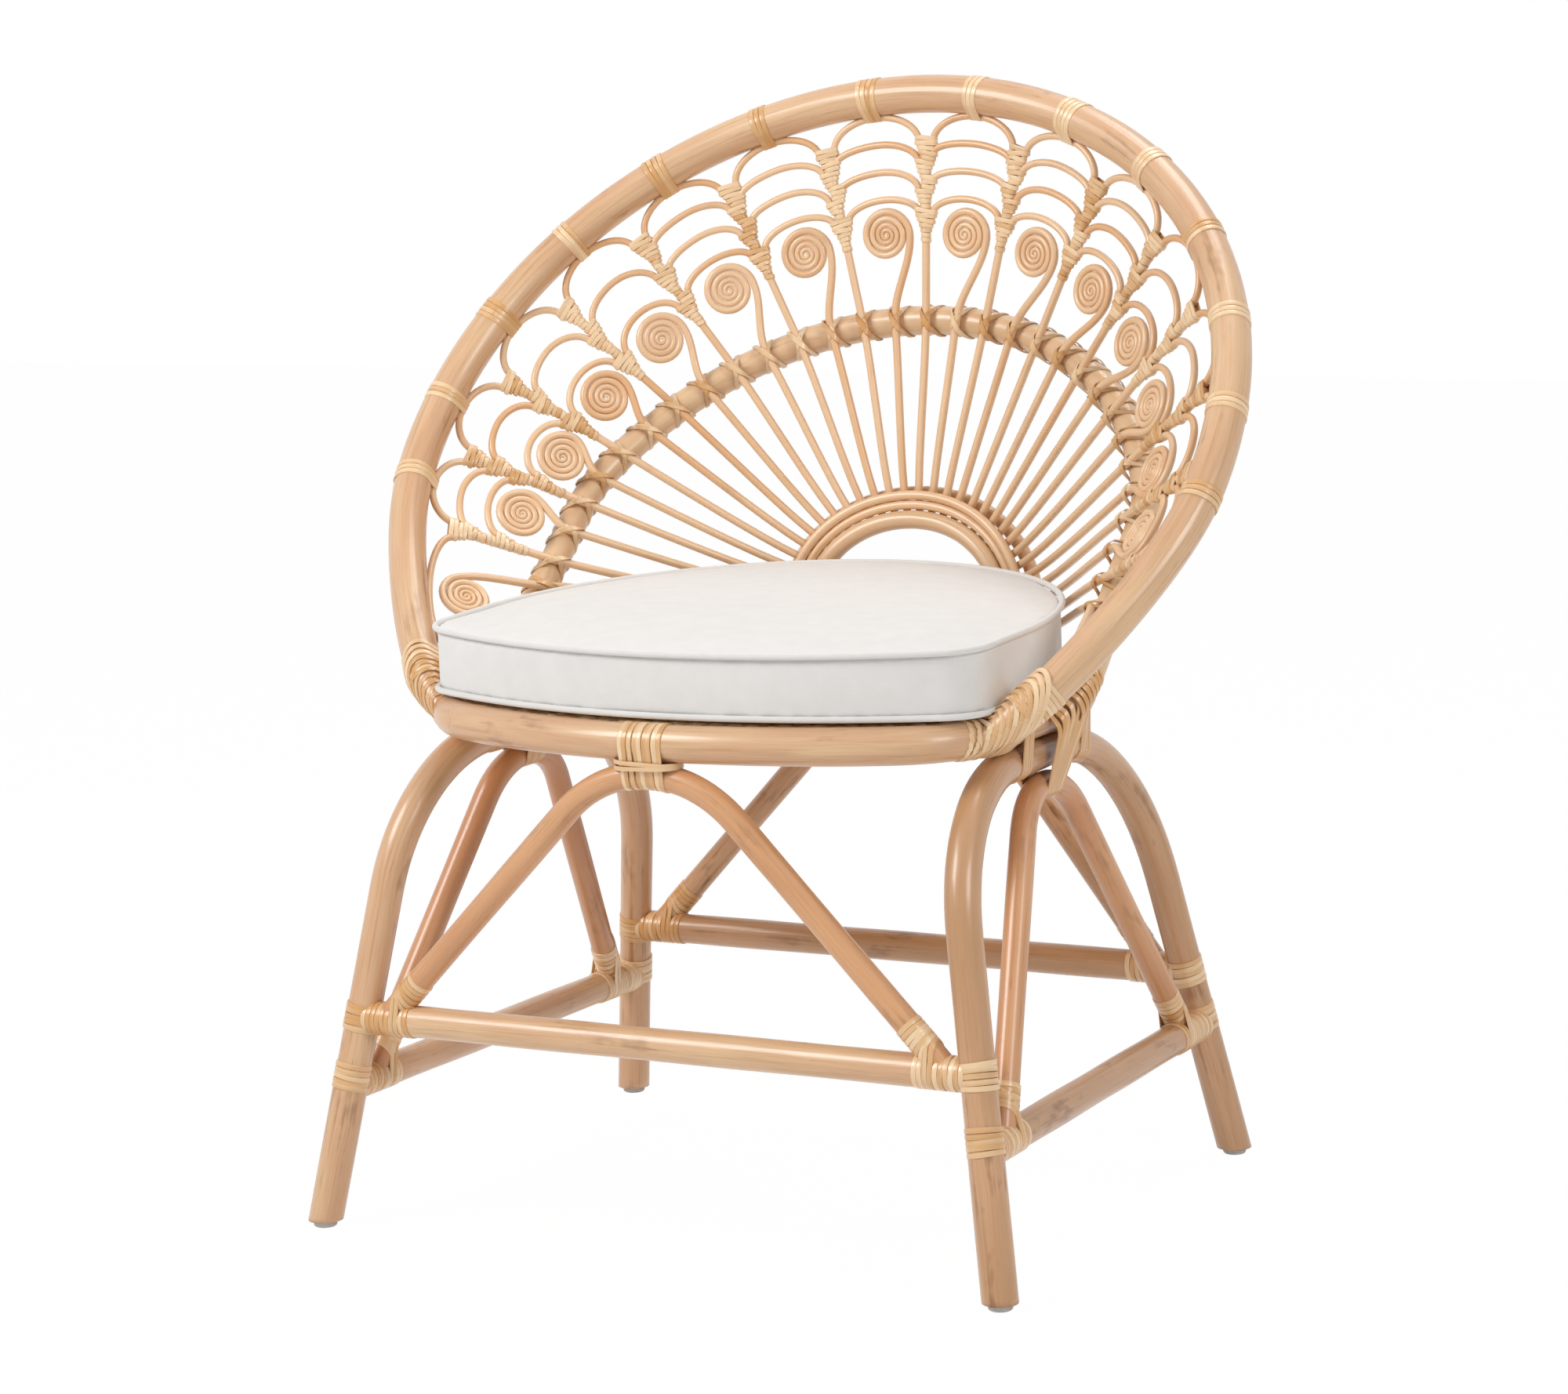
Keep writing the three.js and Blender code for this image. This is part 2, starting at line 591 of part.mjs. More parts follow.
function scrollCane(at) {
  const drop = SCROLL_DROP - SCROLL_DROP_EASE * at ** 8;
  const frame = fanFrame(at, drop);
  const outerTurn = SCROLL_RADIUS - SCROLL_CANE / 2;
  const coil = [];
  const coilRadii = [];
  const pitch = SCROLL_CANE + SCROLL_GAP;
  const room = outerTurn - SCROLL_EYE;
  const turns = (pitch - Math.sqrt(pitch ** 2 - 2 * SCROLL_THINNING * room)) / SCROLL_THINNING;
  for (let i = 0; i <= Math.round(turns * SCROLL_STEPS_PER_TURN); i += 1) {
    const turn = i / SCROLL_STEPS_PER_TURN;
    const angle = 2 * Math.PI * turn;
    const reach = outerTurn - pitch * turn + (SCROLL_THINNING * turn ** 2) / 2;
    const point = frame.point.clone();
    point.addScaledVector(frame.sideways, reach * Math.cos(angle));
    point.addScaledVector(frame.outward, reach * Math.sin(angle));
    coil.push(point);
    coilRadii.push((SCROLL_CANE - SCROLL_THINNING * turn) / 2);
  }
  const touch = coil[0];
  const cross = crossing(at);
  const stem = spokeCurve(at, frame.point).getPoints(6).slice(0, 5);
  const lead = cross.distanceTo(touch) / 3;
  const away = stem[4].clone().sub(stem[3]).normalize();
  const leaving = cross.clone().addScaledVector(away, lead);
  const arriving = touch.clone().addScaledVector(frame.outward, -lead);
  const sweep = new THREE.CubicBezierCurve3(cross, leaving, arriving, touch);
  const stations = [...stem, ...sweep.getPoints(4).slice(1, 4), ...coil];
  const stemCount = stations.length - coil.length;
  const radii = stations.map((_, i) => {
    const along = Math.max(0, (i - 4) / (stemCount - 4));
    return i < stemCount ? (SPOKE_CANE + (SCROLL_CANE - SPOKE_CANE) * along) / 2 : coilRadii[i - stemCount];
  });
  return { geometry: taperedCane(stations, radii, FINE_SIDES), gap: leastGap(coil, coilRadii) };
}

function buildScrolls() {
  let least = Infinity;
  places(-LAST_SCROLL, LAST_SCROLL, 1).forEach((at, i) => {
    const { geometry, gap } = scrollCane(at);
    least = Math.min(least, gap);
    addPiece(`scroll_${String(i + 1).padStart(2, '0')}`, geometry, RATTAN);
  });
  console.log(`least gap between the turns of a scroll: ${least.toFixed(2)} mm`);
}

function buildSeat() {
  addPiece('seat_ring', ringTube(0), RATTAN);
  const deckBottom = DECK_TOP - DECK_THICKNESS;
  const shape = new THREE.Shape(outlinePoints(RING_OUTLINE, DECK_INSET, RING_STEPS));
  const deck = new THREE.ExtrudeGeometry(shape, { depth: DECK_THICKNESS, bevelEnabled: false });
  deck.translate(0, 0, deckBottom);
  const notch = lashingBlock(LASHING_PEEL + FIT, LASHING_WIDTH + 2 * FIT);
  addPiece('seat_deck', cut(deck, ringTube(FIT), notch), PEEL);
}

// The lashing's hole is the hull of the ring's and the brace's sections, with room for their curves
function lashingShape(thickness) {
  const ringSag = LASHING_WIDTH ** 2 / (8 * SEAT_FRONT_RADIUS);
  const braceSag = LASHING_WIDTH ** 2 / (8 * CROSS_BRACE_BEND);
  const upper = RING_POLE / 2 + ringSag + FIT + thickness;
  const lower = BRACE_POLE / 2 + FIT + thickness;
  const lowerZ = -(RING_POLE + BRACE_POLE) / 2 - FIT - braceSag;
  const slope = Math.asin((upper - lower) / -lowerZ);
  const shape = new THREE.Shape();
  shape.absarc(0, 0, upper, -slope, Math.PI + slope);
  shape.absarc(0, lowerZ, lower, Math.PI + slope, 2 * Math.PI - slope);
  return shape;
}

function lashingBlock(thickness, width) {
  const block = new THREE.ExtrudeGeometry(lashingShape(thickness), {
    depth: width, bevelEnabled: false, curveSegments: LASHING_ARC_STEPS,
  });
  block.rotateX(Math.PI / 2);
  block.rotateZ(Math.PI / 2);
  block.translate(-width / 2, -SEAT_FRONT, SEAT_HEIGHT);
  return block;
}

function buildLashing() {
  const sleeve = lashingBlock(LASHING_PEEL, LASHING_WIDTH);
  addPiece('lashing_front', cut(sleeve, lashingBlock(0, 2 * LASHING_WIDTH)), PEEL);
}

// A crowned cushion body, thicker at the back: rings of the outline from the bottom's middle up to the top's
function cushionBody(shrink) {
  const count = CUSHION_STEPS;
  const base = DECK_TOP + FIT + shrink;
  const crown = DECK_TOP + FIT + CUSHION_SEAM_HIGH + CUSHION_CROWN - shrink;
  const seamLow = DECK_TOP + FIT + CUSHION_SEAM_LOW + shrink;
  const seamHigh = DECK_TOP + FIT + CUSHION_SEAM_HIGH - shrink;
  const edge = outlinePoints(CUSHION_OUTLINE, shrink, count);
  const waist = outlinePoints(CUSHION_OUTLINE, shrink + CUSHION_DRAW_IN, count);
  const front = CUSHION_OUTLINE.front;
  const lift = (y) => (CUSHION_BACK_RISE * (y + front)) / (front + SEAT_BACK - CUSHION_BACK_INSET);
  const flat = (points, scale, z) => points.map((p) => [p.x * scale, p.y * scale, z]);
  const raised = (points, scale, z, share = 1) => (
    points.map((p) => [p.x * scale, p.y * scale, z + share * lift(p.y * scale)]));
  const rings = [
    flat(edge, 0.55, base),
    flat(edge, 0.85, base + 0.3 * (seamLow - base)),
    flat(edge, 1, seamLow),
    raised(waist, 1, (seamLow + seamHigh) / 2, 0.5),
    raised(edge, 1, seamHigh),
    raised(edge, 0.85, seamHigh + 0.6 * (crown - seamHigh)),
    raised(edge, 0.5, seamHigh + 0.92 * (crown - seamHigh)),
  ];
  const positions = rings.flat(2);
  const bottomMiddle = positions.length / 3;
  positions.push(0, 0, base, 0, 0, crown + lift(0));
  const index = [];
  for (let j = 0; j < count; j += 1) {
    const next = (j + 1) % count;
    for (let i = 0; i < rings.length - 1; i += 1) {
      const low = i * count;
      const high = low + count;
      index.push(low + j, low + next, high + j, low + next, high + next, high + j);
    }
    const top = (rings.length - 1) * count;
    index.push(bottomMiddle, next, j, bottomMiddle + 1, top + j, top + next);
  }
  const geometry = new THREE.BufferGeometry();
  geometry.setAttribute('position', new THREE.Float32BufferAttribute(positions, 3));
  geometry.setIndex(index);
  return geometry;
}

function buildCushion() {
  const middle = DECK_TOP + FIT + (CUSHION_SEAM_LOW + CUSHION_SEAM_HIGH + CUSHION_BACK_RISE) / 2;
  const slit = new THREE.BoxGeometry(ZIP_LENGTH, 2 * ZIP_DEPTH, ZIP_GAP);
  slit.translate(0, SEAT_BACK - CUSHION_BACK_INSET, middle);
  addPiece('cushion_cover', cut(cushionBody(0), cushionBody(COVER_CLOTH), slit), CLOTH);
  addPiece('cushion_foam', cushionBody(COVER_CLOTH + FIT), FOAM);
}

buildSeat();
buildLegs();
buildStretchers();
buildBraces();
buildRim();
buildArch();
buildHub();
buildSpokes();
buildScrolls();
buildScallops();
buildLashing();
buildCushion();

// The origin is under the middle of the chair, on the floor
const box = new THREE.Box3().setFromObject(chair);
const centre = box.getCenter(new THREE.Vector3());
chair.position.set(-centre.x, -centre.y, -box.min.z);

export default chair;
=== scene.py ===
"""Rattan peacock chair: bent poles, fanned canes, peel lashings and a loose cushion."""
import math
import random
from collections import namedtuple
from functools import partial
from operator import itemgetter

import bpy
import numpy as np
from mathutils import Matrix, Vector


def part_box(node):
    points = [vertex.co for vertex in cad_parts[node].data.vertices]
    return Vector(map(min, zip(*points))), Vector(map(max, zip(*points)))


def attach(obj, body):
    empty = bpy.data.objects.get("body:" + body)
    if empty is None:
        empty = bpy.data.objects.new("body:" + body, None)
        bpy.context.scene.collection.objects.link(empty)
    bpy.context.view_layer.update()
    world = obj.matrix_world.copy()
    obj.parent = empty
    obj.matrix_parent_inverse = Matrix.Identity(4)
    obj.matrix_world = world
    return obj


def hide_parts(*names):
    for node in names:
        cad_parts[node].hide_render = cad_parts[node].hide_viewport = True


bl_info = {
    "name": "Rattan peacock chair",
    "version": (1, 0, 0),
    "blender": (4, 5, 0),
    "location": "View3D > Sidebar > Peacock chair",
    "description": "Dresses the chair's frame with rattan poles, canes, peel lashings and a cushion",
    "category": "Add Mesh",
}

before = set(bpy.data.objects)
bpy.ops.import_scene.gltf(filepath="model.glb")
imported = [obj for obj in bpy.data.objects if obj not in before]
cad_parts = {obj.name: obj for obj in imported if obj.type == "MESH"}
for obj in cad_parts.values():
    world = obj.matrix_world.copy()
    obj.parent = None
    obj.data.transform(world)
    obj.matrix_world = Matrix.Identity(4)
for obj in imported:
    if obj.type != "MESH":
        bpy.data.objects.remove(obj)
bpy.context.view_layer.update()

MM = 0.001
FIT = 0.3 * MM
IMAGE_WIDTH = 2000

# The front feet tie the sizes below to the frame's own origin
FOOT_Y = 238 * MM
FRONT_LEG_LEAN = 0.172
GLIDE_LOW, GLIDE_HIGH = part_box("glide_front_left")
# The leg's end is hollowed round the glide, so that less of the glide shows
GLIDE_SHOWN = 5.5 * MM
GLIDE_HEIGHT = GLIDE_HIGH.z - GLIDE_LOW.z + FIT
SHIFT_Y = (GLIDE_LOW.y + GLIDE_HIGH.y) / 2 + FOOT_Y - FRONT_LEG_LEAN * GLIDE_HEIGHT / 2

# Sides of the round pieces, as steps of the bevel of a path: a ring has 4 + 2 x steps points
POLE_BEVEL = 8
CANE_BEVEL = 3
# Spacing of strips that lie side by side, as a share of their width
PEEL_PITCH = 0.98

# A grown pole's thickness wanders by this share, so many times along a pole or round the seat ring
SWELL = 0.012
POLE_SWELLS = 3.3
RING_SWELLS = 5

# The ends of the rim and the arch are thinned over this part of a turn, where they lie on the ring
END_TAPER = math.radians(7)
# What is left of their thickness at the tip
RIM_TIP = 0.5
ARCH_TIP = 0.6

SIDES = (("left", -1), ("right", 1))
ENDS = ("front", "back")
UP = np.array((0, 0, 1.0))
Frame = namedtuple("Frame", "point outward sideways facing")
Rod = namedtuple("Rod", "point axis radius")
Outline = namedtuple("Outline", "front front_radius corner half_width side_end behind")


def linear(code):
    """A colour written as sRGB hex, as the linear values that shaders take."""
    parts = [int(code[i:i + 2], 16) / 255 for i in (0, 2, 4)]
    return tuple(p / 12.92 if p <= 0.04045 else ((p + 0.055) / 1.055) ** 2.4 for p in parts)


def length(name, description, millimetres):
    """A length that a user may change, written in millimetres and kept in metres."""
    return bpy.props.FloatProperty(
        name=name, description=description, default=millimetres * MM, unit="LENGTH", precision=4)


def turn(name, description, degrees):
    """An angle that a user may change, written in degrees."""
    return bpy.props.FloatProperty(
        name=name, description=description, default=math.radians(degrees), unit="ROTATION", precision=4)


def tint(name, description, code):
    """A colour that a user may change, written as sRGB hex."""
    return bpy.props.FloatVectorProperty(
        name=name, description=description, default=linear(code), subtype="COLOR", min=0, max=1)


class PoleSizes(bpy.types.PropertyGroup):
    """Diameters of the poles and canes."""
    leg: length("Leg pole", "Diameter of the two side arches that are the legs", 28)
    rim: length("Rim pole", "Diameter of the hoop round the back", 32)
    ring: length("Ring pole", "Diameter of the seat ring", 30)
    brace: length("Brace pole", "Diameter of the bent braces under the seat", 21)
    stretcher: length("Stretcher pole", "Diameter of the straight stretchers", 26)
    arch: length("Arch pole", "Diameter of the arch behind the spokes", 25)
    hub: length("Hub pole", "Diameter of the inner half ring of the hub", 16)
    hub_cane: length("Hub cane", "Diameter of the two canes round the hub", 8)
    hub_back: length("Hub back cane", "Diameter of the cane behind the spokes' feet", 12)
    spoke: length("Spoke cane", "Diameter of the straight spokes and of the scrolls' stems", 6.9)
    scallop: length("Scallop cane", "Diameter of the arcs between the spokes", 6.2)


class SeatSizes(bpy.types.PropertyGroup):
    """The seat ring, seen from above, and the woven deck in it."""
    height: length("Height", "Height of the seat ring's middle above the floor", 409)
    front: length("Front", "How far the front lies before the middle", 207)
    front_radius: length("Front radius", "Radius of the shallow front curve", 456)
    corner: length("Corner", "Radius of the front corners", 85)
    half_width: length("Half width", "Half the ring's width at its middle line", 240)
    side_end: length("Side end", "Where the straight sides turn into the round back", 10)
    behind: length("Behind", "Depth of the round back", 240)
    deck_strip: length("Deck strip", "Width of the deck's woven strips", 11)
    deck_weave: length("Deck weave", "How far a strip rises over its neighbour", 0.9)
    deck_drop: length("Deck drop", "How far the deck lies below the ring's top", 2)


class LegSizes(bpy.types.PropertyGroup):
    """Legs, stretchers and braces."""
    splay: length("Splay", "How far a foot stands outside the seat ring", 60)
    toe_out: length("Front toe out", "How far the front legs are set out", 5)
    foot_toe_in: length("Back foot toe in", "How far the back feet are set in", 6)
    top_toe_in: length("Back leg top toe in", "How far the tops of the back legs are set in", 14)
    back_lean: bpy.props.FloatProperty(
        name="Back lean", description="How far a back leg leans for each unit of height", default=0.19)
    front_bend: length("Front bend", "Bend radius at the top of a front leg", 130)
    back_bend: length("Back bend", "Bend radius at the top of a back leg", 170)
    glide: length("Glide", "Diameter of the foot glides", 19)
    glide_edge: length("Glide edge", "Rounding of a glide's lower edge", 2)
    front_height: length("Front stretcher height", "Height of the front stretcher", 170)
    back_height: length("Back stretcher height", "Height of the back stretcher", 162)
    side_height: length("Side stretcher height", "Height of the side stretchers", 115)
    cross_bend: length("Cross brace bend", "Bend radius of the front and back braces", 105)
    side_bend: length("Side brace bend", "Bend radius of the side braces", 63)
    cross_inset: length("Cross brace inset", "From a leg to a cross brace's foot", 24.5)
    side_front_inset: length("Side brace front inset", "From a front leg to a side brace's foot", 30)
    side_back_inset: length("Side brace back inset", "From a back leg to a side brace's foot", 38)


class BackSizes(bpy.types.PropertyGroup):
    """The rim, the arch, the hub and the fan of canes between them."""
    rim_overhang: length("Rim overhang", "How far the rim reaches past the seat at each side", 125)
    rim_setback: length("Rim setback", "From the seat's widest place back to the rim's centre", 50)
    rim_rise: length("Rim rise", "From the seat up to the rim's centre", 203)
    rim_lean: turn("Rim lean", "How far the rim leans back", 41.2)
    rim_end: turn("Rim end", "Where the rim's ends lie, from its top", 139)
    rim_narrowing: length("Rim narrowing", "How far the rim draws in above its ends", 7)
    rim_narrowing_start: turn("Rim narrowing start", "Where the rim starts to draw in, from its top", 95)
    arch_overhang: length("Arch overhang", "How far the arch reaches past the seat", 40)
    arch_setback: length("Arch setback", "From the seat's widest place back to the arch's centre", 68)
    arch_foot: length("Arch foot rise", "From the seat up to the arch's widest place", 79)
    arch_shortfall: length("Arch shortfall", "How much shallower the arch is than the seat's back", 14)
    arch_rise: length("Arch rise", "Height of the arch above its widest place", 205)
    arch_end: turn("Arch end", "Where the arch's ends lie, from its top", 111)
    arch_narrowing: length("Arch narrowing", "How far the arch draws in above its ends", 15)
    arch_narrowing_start: turn("Arch narrowing start", "Where the arch starts to draw in, from its top", 66)
    hub_half_width: length("Hub half width", "Half the hub's width", 117)
    hub_rise: length("Hub rise", "Height of the hub's half ring", 97)
    hub_leg_above: length("Hub leg above seat", "Where the half ring starts, above the seat", 45)
    hub_foot: length("Hub foot", "Where the hub's feet end in the seat ring, above its middle line", 8)
    hub_setback: length("Hub setback", "How far behind the ring's middle line the hub stands", 3.6)
    hub_margin: length("Hub margin", "How far a spoke's bend lies outside the hub", 6)
    rim_step: turn("Rim step", "Angle between two spokes at the rim's top", 16.05)
    rim_ease: turn("Rim ease", "How that angle shrinks down the sides", 0.0272)
    arch_step: turn("Arch step", "Angle between two spokes on the arch", 12.5)
    hub_step: turn("Hub step", "Angle between two spokes on the hub", 13.1)
    last_arch_place: bpy.props.FloatProperty(
        name="Last arch place", description="The last place on the arch, counted in spokes", default=7.4)
    last_cell_growth: bpy.props.FloatProperty(
        name="Last cell growth", description="How much wider the last cell at each side is", default=1.64)
    spokes: bpy.props.IntProperty(
        name="Spokes", description="Spokes at each side of the middle one", default=7)
    tip_drop: length("Tip drop", "From the rim's middle line to a spoke's tip", 38.7)
    first_rise: length("First rise", "Height of the arcs that touch the rim", 24.5)
    later_rise: bpy.props.FloatProperty(
        name="Later rise", description="Height of the other arcs, as a share of their spacing", default=0.6)
    stagger: length("Stagger", "How far the feet of two arcs miss each other at a spoke", 4.5)
    foot_length: length("Foot length", "Length of an arc's cut foot along a spoke", 14)
    scroll_drop: length("Scroll drop", "From the rim's middle line to a scroll's eye", 118)
    scroll_ease: bpy.props.FloatProperty(
        name="Scroll ease", description="How the scrolls rise down the sides, in mm", default=6.6e-6,
        precision=8)
    scroll_radius: length("Scroll radius", "Outer radius of a scroll", 25.2)
    scroll_cane: length("Scroll cane", "Diameter of the cane where a scroll starts", 6.6)
    scroll_thinning: length("Scroll thinning", "How much that cane thins in each turn", 0.85)
    scroll_gap: length("Scroll gap", "Gap between two turns of a scroll", 0.15)
    scroll_eye: length("Scroll eye", "Radius at which a scroll ends", 0.6)


class PeelSizes(bpy.types.PropertyGroup):
    """Strips of rattan peel that tie the chair together."""
    strip: length("Strip", "Width of the strips round the poles", 4.5)
    wrap: length("Wrap", "Width of the strips round the spokes", 4.2)
    tie: length("Tie", "Width of the strips that cross over a spoke", 4.8)
    thickness: length("Thickness", "Thickness of the peel", 1)


class CushionSizes(bpy.types.PropertyGroup):
    """The loose seat cushion."""
    front_setback: length("Front setback", "From the ring's front to the cushion's front", 4)
    front_radius: length("Front radius", "Radius of the cushion's front", 480)
    corner: length("Corner", "Radius of the front corners", 45)
    overhang: length("Overhang", "How far it reaches past the ring's middle line at the sides", 7)
    round_start: length("Round start", "How far before the ring's the round back starts", 60)
    back_inset: length("Back inset", "How far it stays before the ring's middle line at the back", 14)
    seam_low: length("Lower seam", "Height of the lower piping above the deck", 5)
    seam_high: length("Upper seam", "Height of the upper piping above the deck", 53)
    back_rise: length("Back rise", "How much higher the top lies at the back", 14)
    crown: length("Crown", "How far the top swells above the upper piping", 10)
    piping: length("Piping", "Diameter of the piping", 5.2)
    voxel: length("Cloth grid", "Size of the cloth's faces in the simulation", 5)


class Finishes(bpy.types.PropertyGroup):
    """Colours of the materials."""
    pole: tint("Pole", "Sanded rattan pole under clear lacquer", "e3bf95")
    pole_pink: tint("Pole, pinkish", "The pinkish stretches of a pole", "d3a57d")
    pole_dark: tint("Pole, fibres", "The darker fibres of a pole", "ad7c4c")
    # Partly painted shade: the darker brown of the poles at the back and right, which stand away from the
    # lights
    pole_brown_and_shade: tint("Pole, brown", "The poles of a rougher stick", "bf9167")
    pole_amber: tint("Pole, amber", "The thin poles of the braces", "d8a172")
    pole_amber_dark: tint("Pole, deep amber", "The deeper stretches of the braces", "c5885b")
    stain: tint("Stain", "Brown stains of a pole", "875831")
    cane: tint("Cane", "Thin rattan cane", "ecc69d")
    cane_warm: tint("Cane, warm", "The canes that took more colour", "e2af7d")
    peel: tint("Peel", "Rattan skin", "f2d3aa")
    peel_dark: tint("Peel, dark", "Rattan skin that took more colour", "d5a164")
    cloth: tint("Cloth", "Cotton canvas", "e4e2df")
    glide: tint("Glide", "Polyethylene glide", "d9d9d6")
    floor: tint("Floor", "Studio floor", "ffffff")


class ChairSettings(bpy.types.PropertyGroup):
    """All that a user may change on the chair."""
    pole: bpy.props.PointerProperty(type=PoleSizes)
    seat: bpy.props.PointerProperty(type=SeatSizes)
    leg: bpy.props.PointerProperty(type=LegSizes)
    back: bpy.props.PointerProperty(type=BackSizes)
    peel: bpy.props.PointerProperty(type=PeelSizes)
    cushion: bpy.props.PointerProperty(type=CushionSizes)
    finish: bpy.props.PointerProperty(type=Finishes)


def chair():
    """The settings of this scene's chair."""
    return bpy.context.scene.peacock_chair


# Small vector sums, on arrays of three numbers in metres

def place_at(x, y, z):
    """A place given from the seat's middle, in the frame."""
    return np.array((x, y + SHIFT_Y, z))


def unit(vector):
    return vector / np.linalg.norm(vector)


def mix(a, b, share):
    return a + (b - a) * share


def turned(vector, axis, angle):
    """A vector turned about an axis."""
    return np.array(Matrix.Rotation(angle, 3, Vector(axis)) @ Vector(vector))


def smooth_path(points, per_span):
    """Stations on a centripetal curve through the points."""
    ends = [2 * points[0] - points[1], *points, 2 * points[-1] - points[-2]]
    stations = []
    for i in range(1, len(ends) - 2):
        p0, p1, p2, p3 = ends[i - 1:i + 3]
        t1 = math.sqrt(np.linalg.norm(p1 - p0))
        t2 = t1 + math.sqrt(np.linalg.norm(p2 - p1))
        t3 = t2 + math.sqrt(np.linalg.norm(p3 - p2))
        for step in range(per_span):
            t = mix(t1, t2, step / per_span)
            a1 = mix(p0, p1, t / t1)
            a2 = mix(p1, p2, (t - t1) / (t2 - t1))
            a3 = mix(p2, p3, (t - t2) / (t3 - t2))
            b1 = mix(a1, a2, t / t2)
            b2 = mix(a2, a3, (t - t1) / (t3 - t1))
            stations.append(mix(b1, b2, (t - t1) / (t2 - t1)))
    return [*stations, points[-1]]


def distances(points):
    """How far along a line each of its points lies."""
    return np.concatenate(([0], np.cumsum(np.linalg.norm(np.diff(points, axis=0), axis=1))))


def even_stations(points, count, closed=False):
    """Stations evenly spaced along a line of points."""
    points = np.array(points + points[:1] if closed else points)
    along = distances(points)
    wanted = np.linspace(0, along[-1], count, endpoint=not closed)
    return [np.array([np.interp(w, along, points[:, k]) for k in range(3)]) for w in wanted]


# Shapes of the chair

def ring_outline():
    seat = chair().seat
    return Outline(seat.front, seat.front_radius, seat.corner, seat.half_width, seat.side_end, seat.behind)


def cushion_outline():
    seat, pad = chair().seat, chair().cushion
    return Outline(
        seat.front - pad.front_setback, pad.front_radius, pad.corner, seat.half_width + pad.overhang,
        seat.side_end - pad.round_start, seat.behind + pad.round_start - pad.back_inset)


def outline_stations(shape, inset, height, count):
    """A shallow front, round corners, straight sides and a half-round back, from the front's left end."""
    front_radius = shape.front_radius - inset
    corner = shape.corner - inset
    half_width = shape.half_width - inset
    front_y = shape.front_radius - shape.front
    corner_x = half_width - corner
    corner_y = front_y - math.sqrt((front_radius - corner) ** 2 - corner_x ** 2)
    spread = math.atan2(corner_x, front_y - corner_y)
    quarter = math.pi / 2
    arcs = (
        (0, front_y, front_radius, front_radius, -quarter - spread, -quarter + spread),
        (corner_x, corner_y, corner, corner, -quarter + spread, 0),
        (0, shape.side_end, half_width, shape.behind - inset, 0, 2 * quarter),
        (-corner_x, corner_y, corner, corner, 2 * quarter, 3 * quarter - spread),
    )
    points = []
    for x, y, across, deep, start, end in arcs:
        for angle in np.linspace(start, end, 90):
            points.append(place_at(x + across * math.cos(angle), y + deep * math.sin(angle), height))
    return even_stations(points, count, closed=True)


def ring_stations(count):
    """Stations on the seat ring's middle line."""
    return outline_stations(ring_outline(), 0, chair().seat.height, count)


def leg_top():
    """Height of the middle line of the side arches' tops, under the seat ring."""
    pole = chair().pole
    return chair().seat.height - pole.ring / 2 - pole.leg / 2 - FIT


def side_plane(side, y, z):
    """A place in the leaning plane of a side arch."""
    leg = chair().leg
    rise = z / leg_top()
    toe_in = mix(leg.foot_toe_in, leg.top_toe_in, rise)
    toe = mix(leg.toe_out, -toe_in, (y + FOOT_Y) / (2 * FOOT_Y))
    return place_at(side * (chair().seat.half_width + leg.splay * (1 - rise) + toe), y, z)


def leg_point(side, end, z):
    """A place on the middle line of a straight leg."""
    if end == "front":
        return side_plane(side, -FOOT_Y + FRONT_LEG_LEAN * z, z)
    return side_plane(side, FOOT_Y - chair().leg.back_lean * z, z)


def leg_rod(side, end, z):
    """A leg as a rod, at a height."""
    axis = unit(leg_point(side, end, z + 1) - leg_point(side, end, z))
    return Rod(leg_point(side, end, z), axis, chair().pole.leg / 2)


def bent_pole(corners, radii, steps=18):
    """Straight runs between corners, each corner rounded to its radius."""
    stations = [corners[0]]
    for before, corner, after, radius in zip(corners, corners[1:], corners[2:], radii):
        back, ahead = unit(before - corner), unit(after - corner)
        half = math.acos(np.dot(back, ahead)) / 2
        centre = corner + unit(back + ahead) * radius / math.sin(half)
        start = corner + back * radius / math.tan(half) - centre
        axis = unit(np.cross(back, ahead))
        for step in range(steps + 1):
            stations.append(centre + turned(start, axis, -(math.pi - 2 * half) * step / steps))
    return [*stations, corners[-1]]


def side_arch_path(side, foot):
    """A side arch's path: front leg, top and back leg, with its feet at a height."""
    corners = [leg_point(side, end, z) for end, z in (
        ("front", foot), ("front", leg_top()), ("back", leg_top()), ("back", foot))]
    return bent_pole(corners, (chair().leg.front_bend, chair().leg.back_bend))


def brace_stations(foot_a, foot_b, foot_height, top, bend, at, steps=24):
    """An inverted V with a round top, in its own plane; at() turns (across, height) into a place."""
    middle = (foot_a + foot_b) / 2
    centre = top - bend
    lean = math.acos(bend / math.hypot(foot_a - middle, foot_height - centre))
    start = math.atan2(foot_height - centre, foot_a - middle) + 2 * math.pi - lean
    end = math.atan2(foot_height - centre, foot_b - middle) + lean
    stations = [at(foot_a, foot_height)]
    for step in range(steps + 1):
        angle = mix(start, end, step / steps)
        stations.append(at(middle + bend * math.cos(angle), centre + bend * math.sin(angle)))
    return [*stations, at(foot_b, foot_height)]


def stretcher_ends(name):
    """The two ends of a stretcher, on the legs' middle lines."""
    leg = chair().leg
    heights = {"front": leg.front_height, "back": leg.back_height}
    if name in heights:
        return [leg_point(side, name, heights[name]) for _, side in SIDES]
    side = dict(SIDES)[name]
    return [leg_point(side, end, leg.side_height) for end in ENDS]


